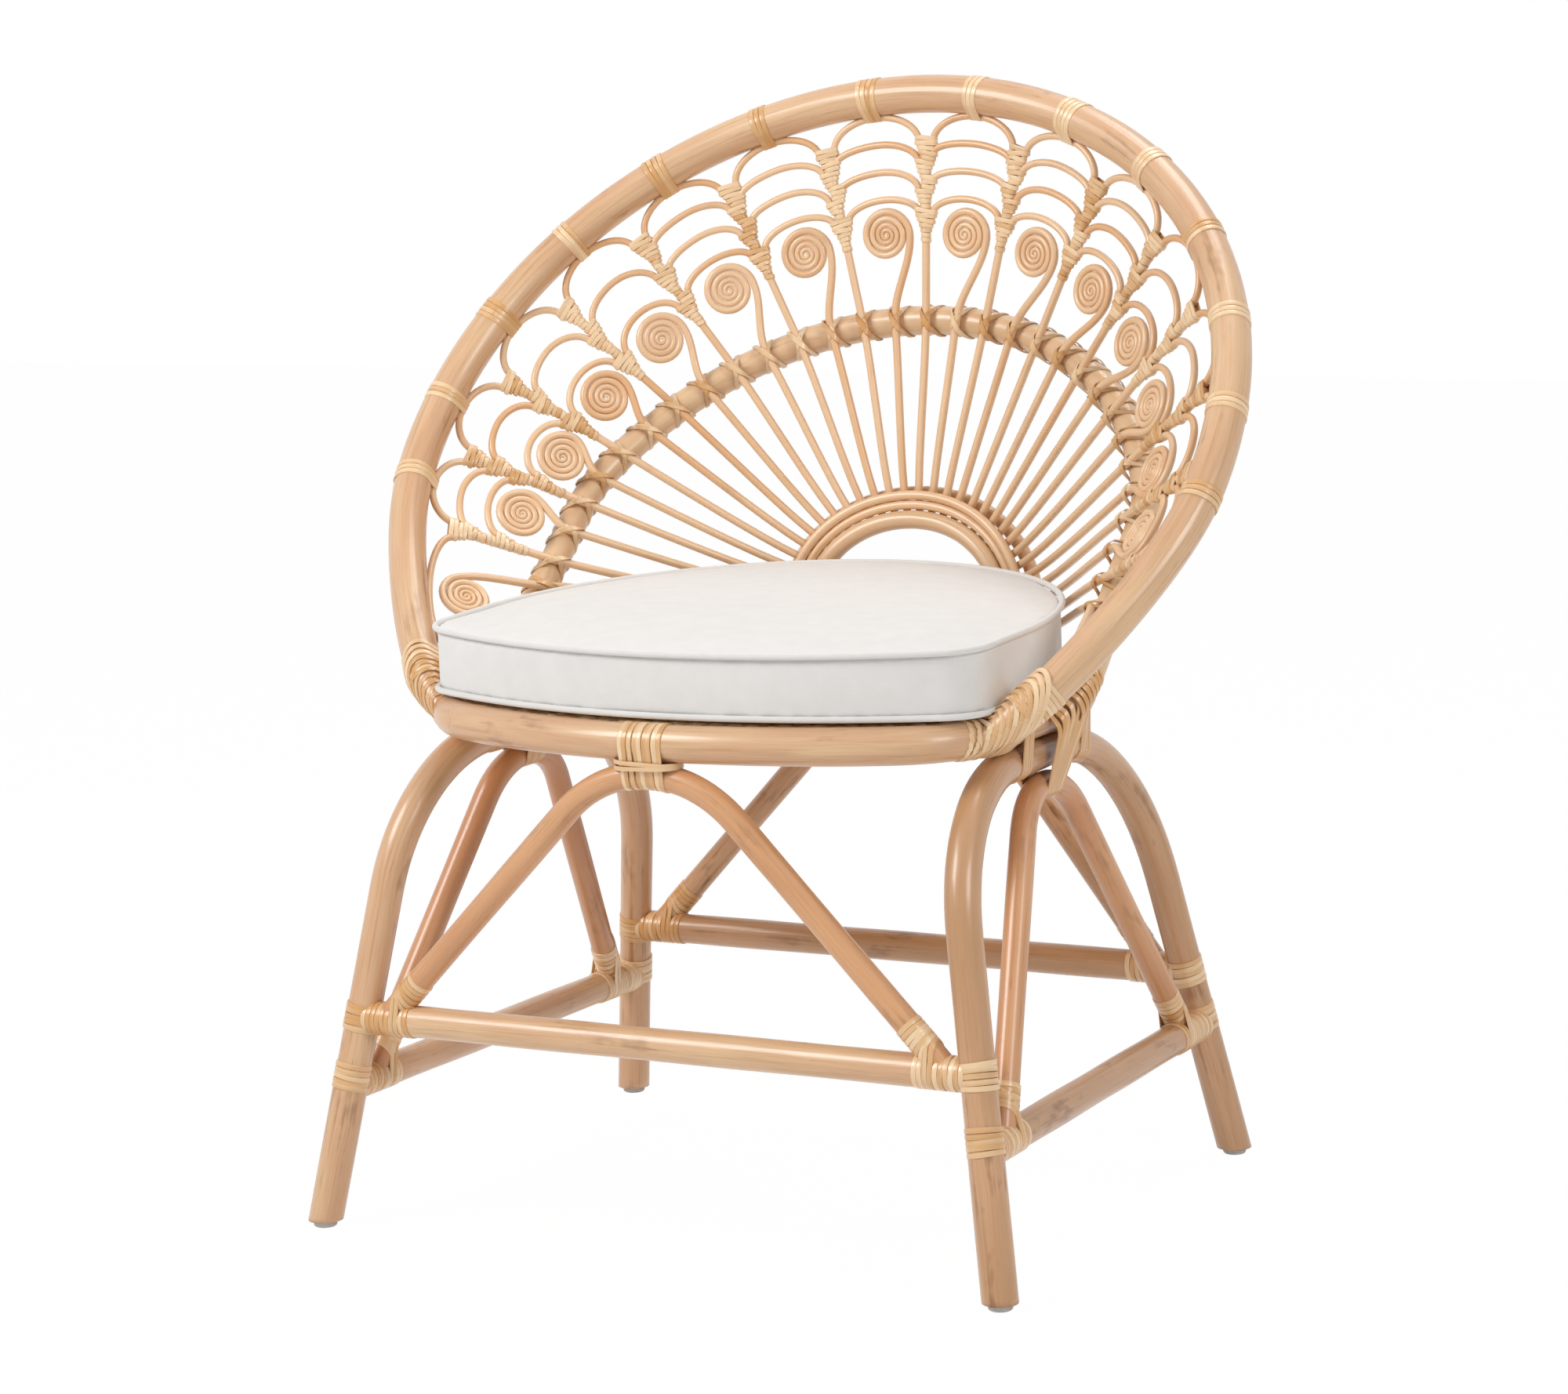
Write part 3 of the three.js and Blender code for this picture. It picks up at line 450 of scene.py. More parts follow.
def brace_path(name):
    """A brace stands on its stretcher and bends over under the pole that it holds."""
    leg, pole, seat = chair().leg, chair().pole, chair().seat
    first, last = stretcher_ends(name)
    if name in ENDS:
        top = seat.height - pole.ring / 2 - pole.brace / 2 - FIT
        seat_y = -seat.front if name == "front" else seat.side_end + seat.behind
        foot_y, foot_z = first[1] - SHIFT_Y, first[2]
        slope = (seat_y - foot_y) / (top - foot_z)
        foot = last[0] - leg.cross_inset

        def at(x, z):
            return place_at(x, foot_y + slope * (z - foot_z), z)

        return brace_stations(-foot, foot, foot_z, top, leg.cross_bend, at)
    top = leg_top() - pole.leg / 2 - pole.brace / 2 - FIT
    side = dict(SIDES)[name]
    front_foot = first[1] - SHIFT_Y + leg.side_front_inset
    back_foot = last[1] - SHIFT_Y - leg.side_back_inset
    at = partial(side_plane, side)
    return brace_stations(front_foot, back_foot, leg.side_height, top, leg.side_bend, at)


# The fan of the back. A place is a whole number at a straight spoke and a half at a scroll.

def drawn_in(angle, start, end, most):
    """How far a hoop draws in at each side between two angles, most of all half way between them."""
    past = (abs(angle) - start) / (end - start)
    return math.copysign(most * (4 * past * (1 - past)) ** 2, angle) if past > 0 else 0


def rim_point(angle):
    """A place on the rim's middle line, at an angle from its top."""
    back, seat = chair().back, chair().seat
    radius = seat.half_width + back.rim_overhang
    rise = radius * math.cos(angle)
    x = radius * math.sin(angle) - drawn_in(angle, back.rim_narrowing_start, back.rim_end, back.rim_narrowing)
    y = seat.side_end + back.rim_setback + rise * math.sin(back.rim_lean)
    return place_at(x, y, seat.height + back.rim_rise + rise * math.cos(back.rim_lean))


def rim_angle(place):
    """Where a place lies on the rim; past the last spoke, the cell at each side is wider than the others."""
    back = chair().back
    past = max(abs(place) - back.spokes, 0)
    spread = place + math.copysign(past * back.last_cell_growth, place)
    return back.rim_step * spread - back.rim_ease * spread ** 3


def hub_angle(place):
    """Where a place lies on the hub."""
    last = chair().back.spokes + 0.5
    return chair().back.hub_step * min(max(place, -last), last)


def arch_point(angle):
    """A place on the arch's middle line, at an angle from its top."""
    back, seat = chair().back, chair().seat
    x = (seat.half_width + back.arch_overhang) * math.sin(angle)
    x -= drawn_in(angle, back.arch_narrowing_start, back.arch_end, back.arch_narrowing)
    y = seat.side_end + back.arch_setback + (seat.behind - back.arch_shortfall) * math.cos(angle)
    return place_at(x, y, seat.height + back.arch_foot + back.arch_rise * math.cos(angle))


def arch_angle(place):
    """Where a place lies on the arch."""
    last = chair().back.last_arch_place
    return chair().back.arch_step * min(max(place, -last), last)


def arch_axis(angle):
    return unit(arch_point(angle + 0.01) - arch_point(angle - 0.01))


def hub_bend():
    """Radius, seen from above, at which the hub's pole follows the seat ring."""
    return chair().seat.behind + chair().back.hub_setback


def spoke_bend():
    """That radius for the spokes' feet, behind the pole."""
    return hub_bend() + chair().pole.hub / 2 + chair().pole.spoke / 2 + FIT


def hub_cane_bend():
    """That radius for the two canes round the hub, before the spokes' feet."""
    return spoke_bend() - chair().pole.spoke / 2 - chair().pole.hub_cane / 2 - 2 * FIT


def hub_insets():
    """How far the outer cane, the inner cane and the pole lie inside the hub's edge."""
    pole = chair().pole
    outer = pole.hub_cane / 2
    inner = outer + pole.hub_cane + FIT
    return outer, inner, inner + pole.hub_cane / 2 + pole.hub / 2 + FIT


def hub_point(angle, inset, bend):
    """A place on the hub's half ring, or on a leg past a quarter turn: inset, and bent round at a radius."""
    back, seat = chair().back, chair().seat
    within = abs(angle) <= math.pi / 2
    across = (back.hub_half_width - inset) * (math.sin(angle) if within else math.copysign(1, angle))
    arc = (back.hub_rise - inset) * math.cos(angle)
    down = back.hub_half_width * (abs(angle) - math.pi / 2)
    z = seat.height + back.hub_leg_above + (arc if within else -down)
    bow = across / hub_bend()
    return place_at(bend * math.sin(bow), seat.side_end + bend * math.cos(bow), z)


def hub_foot_angle():
    """Where the hub's feet end, counted on past its quarter turn."""
    back = chair().back
    return math.pi / 2 + (back.hub_leg_above - back.hub_foot) / back.hub_half_width


def crossing(place):
    """Where a spoke crosses the arch, on the sitter's side of it."""
    angle = arch_angle(place)
    spoke = rim_point(rim_angle(place)) - hub_point(hub_angle(place), 0, spoke_bend())
    inward = unit(np.cross(arch_axis(angle), spoke))
    return arch_point(angle) + inward * (chair().pole.arch / 2 + chair().pole.spoke / 2 + FIT)


def fan_point(place, depth):
    """A point of the fan at a depth below the rim's middle line."""
    rim = rim_point(rim_angle(place))
    return rim + unit(crossing(place) - rim) * depth


def fan_frame(place, depth):
    """A point of the fan with its outward, sideways and sitter-facing directions."""
    outward = unit(rim_point(rim_angle(place)) - crossing(place))
    sideways = fan_point(place + 0.01, depth) - fan_point(place - 0.01, depth)
    sideways = unit(sideways - outward * np.dot(sideways, outward))
    return Frame(fan_point(place, depth), outward, sideways, np.cross(sideways, outward))


def spoke_places():
    """Places of the straight spokes, from the left."""
    return range(-chair().back.spokes, chair().back.spokes + 1)


def cell_places():
    """Places half way between the spokes, and one cell past the last spoke at each side."""
    return [spoke - 0.5 for spoke in range(-chair().back.spokes, chair().back.spokes + 2)]


def spoke_stem(place, end):
    """A spoke's path from its foot behind the hub up to the arch, heading for its end."""
    back = chair().back
    angle = hub_angle(place)
    tail_inset = back.hub_rise - (chair().pole.spoke + 2 * FIT) / (back.hub_step / 2)
    tail = hub_point(angle, tail_inset, spoke_bend())
    root = hub_point(angle, -back.hub_margin, spoke_bend())
    return smooth_path([tail, root, crossing(place), end], 10)[:21]


def scroll_depth(place):
    """How far below the rim's middle line a scroll's eye lies."""
    return chair().back.scroll_drop - chair().back.scroll_ease * MM * place ** 8


def cell_arcs(cell):
    """The arcs of one cell: each one's depth in the middle and at its two feet, left and right."""
    back, pole = chair().back, chair().pole
    count = 4 if abs(cell) < 3 else 3 if abs(cell) < back.spokes else 1
    # The outer arc is let into the rim, and the last one stays clear of the scroll by as much
    margin = 2 * MM
    first = pole.rim / 2 + pole.scallop / 2 - margin
    last = scroll_depth(cell) - back.scroll_radius - pole.scallop / 2 - margin
    step = (last - first) / max(count - 1, 1)
    arcs = []
    for row in range(count):
        crown = first + row * step
        foot = crown + (back.first_rise if row == 0 else back.later_rise * step)
        feet = []
        for side in (-1, 1):
            inner = side * cell < 0 and abs(cell) > 0.6
            higher = not inner if abs(cell) > 0.6 else cell > 0 or side < 0
            missed = 0 < row < count - 1
            feet.append(foot + (0 if not missed else -back.stagger if higher else back.stagger))
        arcs.append((crown, feet))
    return arcs


def foot_aside(share=0.0):
    """How far an arc's foot lies beside its spoke, from where it meets it to its cut end."""
    pole = chair().pole
    return mix((pole.spoke + pole.scallop) / 2, pole.spoke / 2, share)


def foot_radius(share):
    """An arc's foot is cut slanting, so it thins down to its end."""
    return mix(chair().pole.scallop / 2, chair().pole.scallop / 8, share)


# Round canes, drawn as bevelled paths

Cane = namedtuple("Cane", "stations radii tone closed")


def cane(stations, diameter, tone=0.5, closed=False):
    """A cane of one thickness, or of a thickness given for each station."""
    diameters = diameter if np.ndim(diameter) else [diameter] * len(stations)
    return Cane(stations, [d / 2 for d in diameters], tone, closed)


def natural_pole(stations, diameter, dice, closed=False):
    """A pole whose thickness wanders a little, as a grown one's does."""
    phase, tone = dice.uniform(0, 6), dice.random()
    if closed:
        shares = np.arange(len(stations)) / len(stations)
    else:
        along = distances(stations)
        shares = along / along[-1]
    waves = 2 * math.pi * (RING_SWELLS if closed else POLE_SWELLS)
    radii = [diameter / 2 * (1 + SWELL * math.sin(phase + waves * share)) for share in shares]
    return Cane(stations, radii, tone, closed)


def thinned(pole, angles, end, tip):
    """A hoop's pole with its two ends thinned to a share of its thickness."""
    radii = [r * mix(tip, 1, min(1, (end - abs(a)) / END_TAPER)) for r, a in zip(pole.radii, angles)]
    return pole._replace(radii=radii)


def store(mesh, name, kind, values):
    """Keeps a value for each point of a mesh, for its material to read."""
    key = "vector" if kind == "FLOAT_VECTOR" else "value"
    mesh.attributes.new(name, kind, "POINT").data.foreach_set(key, np.ravel(values).astype(np.float32))


def draw_canes(name, canes, bevel, dice):
    """Canes drawn as paths with a round bevel, turned into one mesh with closed ends."""
    curve = bpy.data.curves.new(name, "CURVE")
    curve.dimensions = "3D"
    curve.bevel_depth = 1
    curve.bevel_resolution = bevel
    sides = 4 + 2 * bevel
    grain, tone = [], []
    for piece in canes:
        path = curve.splines.new("POLY")
        path.points.add(len(piece.stations) - 1)
        path.use_cyclic_u = piece.closed
        start, along = dice.uniform(0, 50), 0
        for i, (station, radius) in enumerate(zip(piece.stations, piece.radii)):
            path.points[i].co = (*station, 1)
            path.points[i].radius = radius
            along += np.linalg.norm(station - piece.stations[max(i - 1, 0)])
            for corner in range(sides):
                angle = 2 * math.pi * corner / sides
                grain.append((radius * math.cos(angle), radius * math.sin(angle), start + along))
                tone.append(piece.tone)
    bpy.ops.object.select_all(action="DESELECT")
    piece = bpy.data.objects.new(name, curve)
    bpy.context.scene.collection.objects.link(piece)
    bpy.context.view_layer.objects.active = piece
    piece.select_set(True)
    bpy.ops.object.convert(target="MESH")
    piece = bpy.context.object
    while piece.data.uv_layers:
        piece.data.uv_layers.remove(piece.data.uv_layers[0])
    store(piece.data, "grain", "FLOAT_VECTOR", grain)
    store(piece.data, "tone", "FLOAT", tone)
    bpy.ops.object.mode_set(mode="EDIT")
    bpy.ops.mesh.select_all(action="SELECT")
    bpy.ops.mesh.fill_holes(sides=0)
    bpy.ops.mesh.select_all(action="SELECT")
    bpy.ops.mesh.normals_make_consistent(inside=False)
    bpy.ops.object.mode_set(mode="OBJECT")
    bpy.ops.object.shade_smooth_by_angle(angle=math.radians(50))
    return piece


# Peel strips

class Strips:
    """Flat strips of peel, gathered into one mesh."""

    # A strip's section, from edge to edge: shares of its width and of its thickness
    section = ((-0.5, -0.1), (-0.44, 0.75), (0, 1), (0.44, 0.75), (0.5, -0.1))

    def __init__(self, seed, palest=0.0, darkest=1.0):
        self.dice = random.Random(seed)
        self.tones = (palest, darkest)
        self.points, self.faces, self.grain, self.tone = [], [], [], []

    def new_tone(self):
        """The tone of a new length of peel."""
        return self.dice.uniform(*self.tones)

    def near(self, tone, spread=0.3):
        """A tone near another one, as strips of one length have."""
        return min(max(tone + self.dice.uniform(-spread, spread), 0), 1)

    def lay(self, stations, normals, width, tone=None, closed=True):
        """Lays one strip along stations, flat on a surface that faces the normals."""
        peel = chair().peel.thickness
        tone = self.new_tone() if tone is None else tone
        first, count, sides = len(self.points), len(stations), len(self.section)
        start, along = self.dice.uniform(0, 50), 0
        for i, (station, normal) in enumerate(zip(stations, normals)):
            ahead = stations[(i + 1) % count] if closed or i + 1 < count else station
            behind = stations[i - 1] if closed or i else station
            across = unit(np.cross(normal, ahead - behind))
            along += np.linalg.norm(station - behind)
            for aside, up in self.section:
                self.points.append(station + across * aside * width + normal * up * peel)
                self.grain.append((aside * width, up * peel, start + along))
                self.tone.append(tone)
        for i in range(count if closed else count - 1):
            here, there = first + i * sides, first + (i + 1) % count * sides
            for k in range(sides):
                n = (k + 1) % sides
                self.faces.append((here + k, here + n, there + n, there + k))
        if not closed:
            self.faces.append(tuple(range(first, first + sides)))
            self.faces.append(tuple(range(first + (count - 1) * sides, first + count * sides)))

    def around(self, angle, centre, normal, rods, clear=0.0):
        """A point of a tight loop round some rods, in a plane through a centre, and its rod's normal."""
        # Two axes of the plane, found from a direction that no rod of the chair has
        side = unit(np.cross(normal, (0.31, 0.52, 0.79)))
        axes = np.array((side, np.cross(normal, side)))
        facing = np.array((math.cos(angle), math.sin(angle)))
        best, furthest, touched = None, -1, None
        for rod in rods:
            hit = rod.point + rod.axis * np.dot(centre - rod.point, normal) / np.dot(rod.axis, normal)
            slant = axes @ rod.axis
            pull = facing + slant * np.dot(slant, facing) / max(1 - np.dot(slant, slant), 1e-3)
            edge = axes @ (hit - centre) + (rod.radius + clear) * pull / math.sqrt(np.dot(facing, pull))
            if best is None or np.dot(edge, facing) > furthest:
                best, furthest, touched = edge, np.dot(edge, facing), rod
        point = centre + best @ axes
        arm = point - touched.point
        return point, unit(arm - touched.axis * np.dot(arm, touched.axis))

    def loop(self, centre, normal, rods, width, clear=0.0, count=28, tone=None):
        """Ties one tight loop round some rods, in the plane through a centre."""
        places = [self.around(2 * math.pi * k / count, centre, normal, rods, clear) for k in range(count)]
        self.lay([p for p, _ in places], [n for _, n in places], width, tone)

    def band(self, rod, turns, width, sway=0.05, clear=0.0, tone=None, count=28):
        """Winds some turns side by side round one rod, centred on its point."""
        tone = self.new_tone() if tone is None else tone
        for k in range(turns):
            centre = rod.point + rod.axis * (k - (turns - 1) / 2) * width * PEEL_PITCH
            normal = unit(rod.axis + np.array([self.dice.uniform(-sway, sway) for _ in range(3)]))
            self.loop(centre, normal, [rod], width, clear, count, self.near(tone, 0.2))

    def piece(self, name):
        """Makes the mesh of all strips laid so far."""
        mesh = bpy.data.meshes.new(name)
        mesh.from_pydata([tuple(p) for p in self.points], [], self.faces)
        store(mesh, "grain", "FLOAT_VECTOR", self.grain)
        store(mesh, "tone", "FLOAT", self.tone)
        bpy.ops.object.select_all(action="DESELECT")
        piece = bpy.data.objects.new(name, mesh)
        bpy.context.scene.collection.objects.link(piece)
        bpy.context.view_layer.objects.active = piece
        piece.select_set(True)
        bpy.ops.object.mode_set(mode="EDIT")
        bpy.ops.mesh.select_all(action="SELECT")
        bpy.ops.mesh.normals_make_consistent(inside=False)
        bpy.ops.object.mode_set(mode="OBJECT")
        bpy.ops.object.shade_smooth_by_angle(angle=math.radians(60))
        return piece


# Materials

def add_node(tree, kind, feeds=None, **settings):
    """Adds a node with its settings, and feeds its inputs with values or with other nodes' outputs."""
    node = tree.nodes.new(kind)
    for key, value in settings.items():
        setattr(node, key, value)
    for key, value in (feeds or {}).items():
        if isinstance(value, bpy.types.NodeSocket):
            tree.links.new(value, node.inputs[key])
        else:
            node.inputs[key].default_value = value
    return node


def new_material(name):
    """A node material with its shader, ready to be fed."""
    material = bpy.data.materials.new(name)
    material.use_nodes = True
    tree = material.node_tree
    return material, tree, tree.nodes["Principled BSDF"]


def rgba(colour):
    """A colour with full cover, as sockets take it."""
    return (*colour, 1)


Rattan = namedtuple("Rattan", "base other fibre blotch streak spread stain roughness coat")


def grained_rattan(name, look):
    """Colour, gloss and relief of a rattan surface whose fibres run along the piece."""
    material, tree, shader = new_material(name)
    grain = add_node(tree, "ShaderNodeAttribute", attribute_name="grain").outputs["Vector"]
    tone = add_node(tree, "ShaderNodeAttribute", attribute_name="tone").outputs["Fac"]

    def noise(across, along, detail, roughness=0.5):
        """A noise whose specks are so many metres across the fibres and along them."""
        place = add_node(tree, "ShaderNodeMapping", {"Vector": grain,
                                                     "Scale": (1 / across, 1 / across, 1 / along)})
        return add_node(tree, "ShaderNodeTexNoise", {"Vector": place.outputs[0], "Scale": 1, "Detail": detail,
                                                     "Roughness": roughness}).outputs[0]

    def ramp(value, low, high, top=1.0, bottom=0.0):
        return add_node(tree, "ShaderNodeMapRange", {"Value": value, "From Min": low, "From Max": high,
                                                     "To Min": bottom, "To Max": top}).outputs[0]

    def blend(share, under, over):
        return add_node(tree, "ShaderNodeMix", {0: share, 6: under, 7: over}, data_type="RGBA").outputs[2]

    # Fibres about 1.2 mm wide and 50 mm long: real ones are finer, and would not show in the picture
    fibres = noise(0.0012, 0.05, 4, 0.65)
    # Bundles of fibres, 4 mm wide and 130 mm long, that stand out as streaks
    bundles = noise(0.004, 0.13, 3, 0.6)
    # Stretches of another tone, some 25 mm round the piece and 160 mm along it
    clouds = noise(0.025, 0.16, 2)
    lift = add_node(tree, "ShaderNodeMath", {0: tone, 1: look.spread, 2: -look.spread / 2},
                    operation="MULTIPLY_ADD")
    mixed = add_node(tree, "ShaderNodeMath", {0: clouds, 1: lift.outputs[0]}, operation="ADD").outputs[0]
    body = blend(ramp(mixed, 0.32, 0.7), rgba(look.base), rgba(look.other))
    # Brown stains where the skin was sanded through, a few to the metre and broken up by the fibres
    stains = add_node(tree, "ShaderNodeMath", {0: noise(0.03, 0.07, 3, 0.7),
                                               1: ramp(bundles, 0.3, 0.7, 0.16)}, operation="ADD").outputs[0]
    stained = blend(ramp(stains, 0.68, 0.82, look.stain), body, rgba(look.blotch))
    streaked = blend(ramp(bundles, 0.52, 0.74, look.streak), stained, rgba(look.fibre))
    lined = blend(ramp(fibres, 0.5, 0.8, look.streak), streaked, rgba(look.fibre))
    tree.links.new(lined, shader.inputs["Base Color"])
    gloss = ramp(fibres, 0, 1, look.roughness + 0.1, look.roughness - 0.06)
    tree.links.new(gloss, shader.inputs["Roughness"])
    relief = add_node(tree, "ShaderNodeBump", {"Height": fibres, "Strength": 0.25, "Distance": 0.0006})
    tree.links.new(relief.outputs[0], shader.inputs["Normal"])
    shader.inputs["IOR"].default_value = 1.5
    shader.inputs["Coat Weight"].default_value = look.coat
    shader.inputs["Coat Roughness"].default_value = 0.19
    return material


def lacquered_pole():
    """Sanded rattan pole under clear lacquer: honey to pinkish tan, fibres, stains, a long soft highlight."""
    finish = chair().finish
    return grained_rattan("lacquered_rattan_pole", Rattan(
        finish.pole, finish.pole_pink, finish.pole_dark, finish.stain,
        streak=0.48, spread=0.4, stain=0.55, roughness=0.36, coat=0.45))


def stained_pole():
    """The same pole with more brown stains, as the arch has."""
    finish = chair().finish
    return grained_rattan("stained_rattan_pole", Rattan(
        finish.pole, finish.pole_pink, finish.pole_dark, finish.stain,
        streak=0.2, spread=0.35, stain=0.45, roughness=0.36, coat=0.45))


def amber_pole():
    """A thinner pole whose skin has ripened to amber, as the braces have."""
    finish = chair().finish
    return grained_rattan("amber_rattan_pole", Rattan(
        finish.pole_amber, finish.pole_amber_dark, finish.pole_dark, finish.stain,
        streak=0.4, spread=0.35, stain=0.5, roughness=0.36, coat=0.45))


def stained_and_shaded_pole():
    """A browner pole with many stains, for the back's low poles and the right side: the stains are real, and
    the darker brown is partly painted shade of the sides away from the lights.
    """
    finish = chair().finish
    return grained_rattan("stained_and_shaded_rattan_pole", Rattan(
        finish.pole_pink, finish.pole_brown_and_shade, finish.pole_dark, finish.stain,
        streak=0.55, spread=0.35, stain=0.9, roughness=0.36, coat=0.45))


def split_cane():
    """Thin rattan cane, pale tan to pinkish: a smooth satin skin with faint fibres."""
    finish = chair().finish
    return grained_rattan("rattan_cane", Rattan(
        finish.cane, finish.cane_warm, finish.pole_dark, finish.stain,
        streak=0.22, spread=0.7, stain=0.25, roughness=0.36, coat=0.4))


def rattan_peel():
    """Rattan skin cut in strips: pale straw with darker fibres, glossier than the poles."""
    finish = chair().finish
    return grained_rattan("rattan_peel", Rattan(
        finish.peel, finish.peel_dark, finish.pole_dark, finish.stain,
        streak=0.3, spread=0.6, stain=0.1, roughness=0.33, coat=0.4))


def cotton_canvas():
    """Plain woven cotton: off-white, matt, with a fine thread relief and soft puckers."""
    material, tree, shader = new_material("cotton_canvas")
    place = add_node(tree, "ShaderNodeTexCoord").outputs["Object"]
    # Threads lie about 0.5 mm apart, and are drawn 1.4 mm apart to show in the picture
    threads = []
    for axis in ("X", "Y", "Z"):
        wave = add_node(tree, "ShaderNodeTexWave", {"Vector": place, "Scale": 2 * math.pi / 20 / 0.0014,
                                                    "Distortion": 0.6, "Detail": 1}, bands_direction=axis)
        threads.append(wave.outputs["Fac"])
    pair = add_node(tree, "ShaderNodeMath", {0: threads[0], 1: threads[1]}, operation="ADD")
    cloth = add_node(tree, "ShaderNodeMath", {0: pair.outputs[0], 1: threads[2]}, operation="ADD")
    slubs = add_node(tree, "ShaderNodeTexNoise", {"Vector": place, "Scale": 60, "Detail": 3})
    shade = add_node(tree, "ShaderNodeMapRange", {"Value": slubs.outputs[0], "From Min": 0.3, "From Max": 0.7,
                                                  "To Min": 0.96, "To Max": 1})
    colour = add_node(tree, "ShaderNodeMix", {0: 1.0, 6: rgba(chair().finish.cloth), 7: shade.outputs[0]},
                      data_type="RGBA", blend_type="MULTIPLY")
    tree.links.new(colour.outputs[2], shader.inputs["Base Color"])
    weave = add_node(tree, "ShaderNodeBump", {"Height": cloth.outputs[0], "Strength": 0.12,
                                              "Distance": 0.0003})
    pucker = add_node(tree, "ShaderNodeTexNoise", {"Vector": place, "Scale": 14, "Detail": 2})
    folds = add_node(tree, "ShaderNodeBump", {"Height": pucker.outputs[0], "Strength": 0.25,
                                              "Distance": 0.004, "Normal": weave.outputs[0]})
    tree.links.new(folds.outputs[0], shader.inputs["Normal"])
    shader.inputs["Roughness"].default_value = 0.9
    shader.inputs["Sheen Weight"].default_value = 0.15
    shader.inputs["Sheen Roughness"].default_value = 0.5
    return material


def glide_plastic():
    """Moulded polyethylene: cloudy grey-white, slightly glossy, scuffed where it stands."""
    material, tree, shader = new_material("polyethylene_glide")
    place = add_node(tree, "ShaderNodeTexCoord").outputs["Object"]
    scuffs = add_node(tree, "ShaderNodeTexNoise", {"Vector": place, "Scale": 300, "Detail": 3})
    shade = add_node(tree, "ShaderNodeMapRange", {"Value": scuffs.outputs[0], "To Min": 0.85, "To Max": 1.05})
    colour = add_node(tree, "ShaderNodeMix", {0: 1.0, 6: rgba(chair().finish.glide), 7: shade.outputs[0]},
                      data_type="RGBA", blend_type="MULTIPLY")
    tree.links.new(colour.outputs[2], shader.inputs["Base Color"])
    rough = add_node(tree, "ShaderNodeMapRange", {"Value": scuffs.outputs[0], "To Min": 0.3, "To Max": 0.5})
    tree.links.new(rough.outputs[0], shader.inputs["Roughness"])
    shader.inputs["Subsurface Weight"].default_value = 0.2
    shader.inputs["Subsurface Radius"].default_value = (0.004, 0.004, 0.004)
    return material


MATERIALS = {}


def finished(piece, maker, slot, *nodes, body="frame"):
    """Gives a piece its material and its body, and hides the CAD nodes that it stands for; the slot is not
    used.
    """
    name = maker.__name__
    if name not in MATERIALS:
        MATERIALS[name] = maker()
    piece.data.materials.clear()
    piece.data.materials.append(MATERIALS[name])
    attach(piece, body)
    if nodes:
        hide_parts(*nodes)
    return piece


# Operators

class PieceOperator:
    """What all the chair's operators share: a run that either ends well or stops the script."""
    bl_options = {"REGISTER", "UNDO"}

    def execute(self, context):
        self.build()
        return {"FINISHED"}


class CHAIR_OT_seat_ring(PieceOperator, bpy.types.Operator):
    """Bend the pole of the seat ring"""
    bl_idname = "chair.seat_ring"
    bl_label = "Seat ring"

    def build(self):
        dice = random.Random(1)
        pole = natural_pole(ring_stations(200), chair().pole.ring, dice, closed=True)
        piece = draw_canes("ring_pole", [pole], POLE_BEVEL, dice)
        finished(piece, lacquered_pole, "rattan_pole", "seat_ring")


class CHAIR_OT_legs(PieceOperator, bpy.types.Operator):
    """Bend the two side arches and cut their feet level"""
    bl_idname = "chair.legs"
    bl_label = "Side arches"

    def build(self):
        dice = random.Random(2)
        below = -chair().pole.leg
        for name, side in SIDES:
            path = side_arch_path(side, below)
            pole = natural_pole(even_stations(path, 150), chair().pole.leg, dice)
            piece = draw_canes(f"side_arch_pole_{name}", [pole], POLE_BEVEL, dice)
            bpy.ops.object.mode_set(mode="EDIT")
            bpy.ops.mesh.select_all(action="SELECT")
            bpy.ops.mesh.bisect(plane_co=(0, 0, GLIDE_SHOWN), plane_no=(0, 0, 1), use_fill=True,
                                clear_inner=True)
            bpy.ops.object.mode_set(mode="OBJECT")
            # The right arch is browner: real stains, and partly painted shade of its side away from the key
            # light
            maker = stained_and_shaded_pole if name == "right" else lacquered_pole
            finished(piece, maker, "rattan_pole", f"side_arch_{name}")


class CHAIR_OT_glides(PieceOperator, bpy.types.Operator):
    """Turn the four glides under the feet"""
    bl_idname = "chair.glides"
    bl_label = "Glides"

    def build(self):
        leg = chair().leg
        for name, side in SIDES:
            for end in ENDS:
                centre = leg_point(side, end, GLIDE_HEIGHT / 2)
                bpy.ops.object.select_all(action="DESELECT")
                bpy.ops.mesh.primitive_cylinder_add(
                    vertices=48, radius=leg.glide / 2, depth=GLIDE_HEIGHT - FIT,
                    location=(centre[0], centre[1], (GLIDE_HEIGHT - FIT) / 2))
                piece = bpy.context.object
                piece.name = f"glide_disc_{end}_{name}"
                bpy.ops.object.transform_apply(location=True, rotation=True, scale=True)
                bpy.ops.object.mode_set(mode="EDIT")
                bpy.ops.mesh.select_all(action="SELECT")
                bpy.ops.mesh.bevel(offset=leg.glide_edge, segments=4, affect="EDGES")
                bpy.ops.object.mode_set(mode="OBJECT")
                bpy.ops.object.shade_smooth_by_angle(angle=math.radians(40))
                finished(piece, glide_plastic, "foot_glide", f"glide_{end}_{name}")


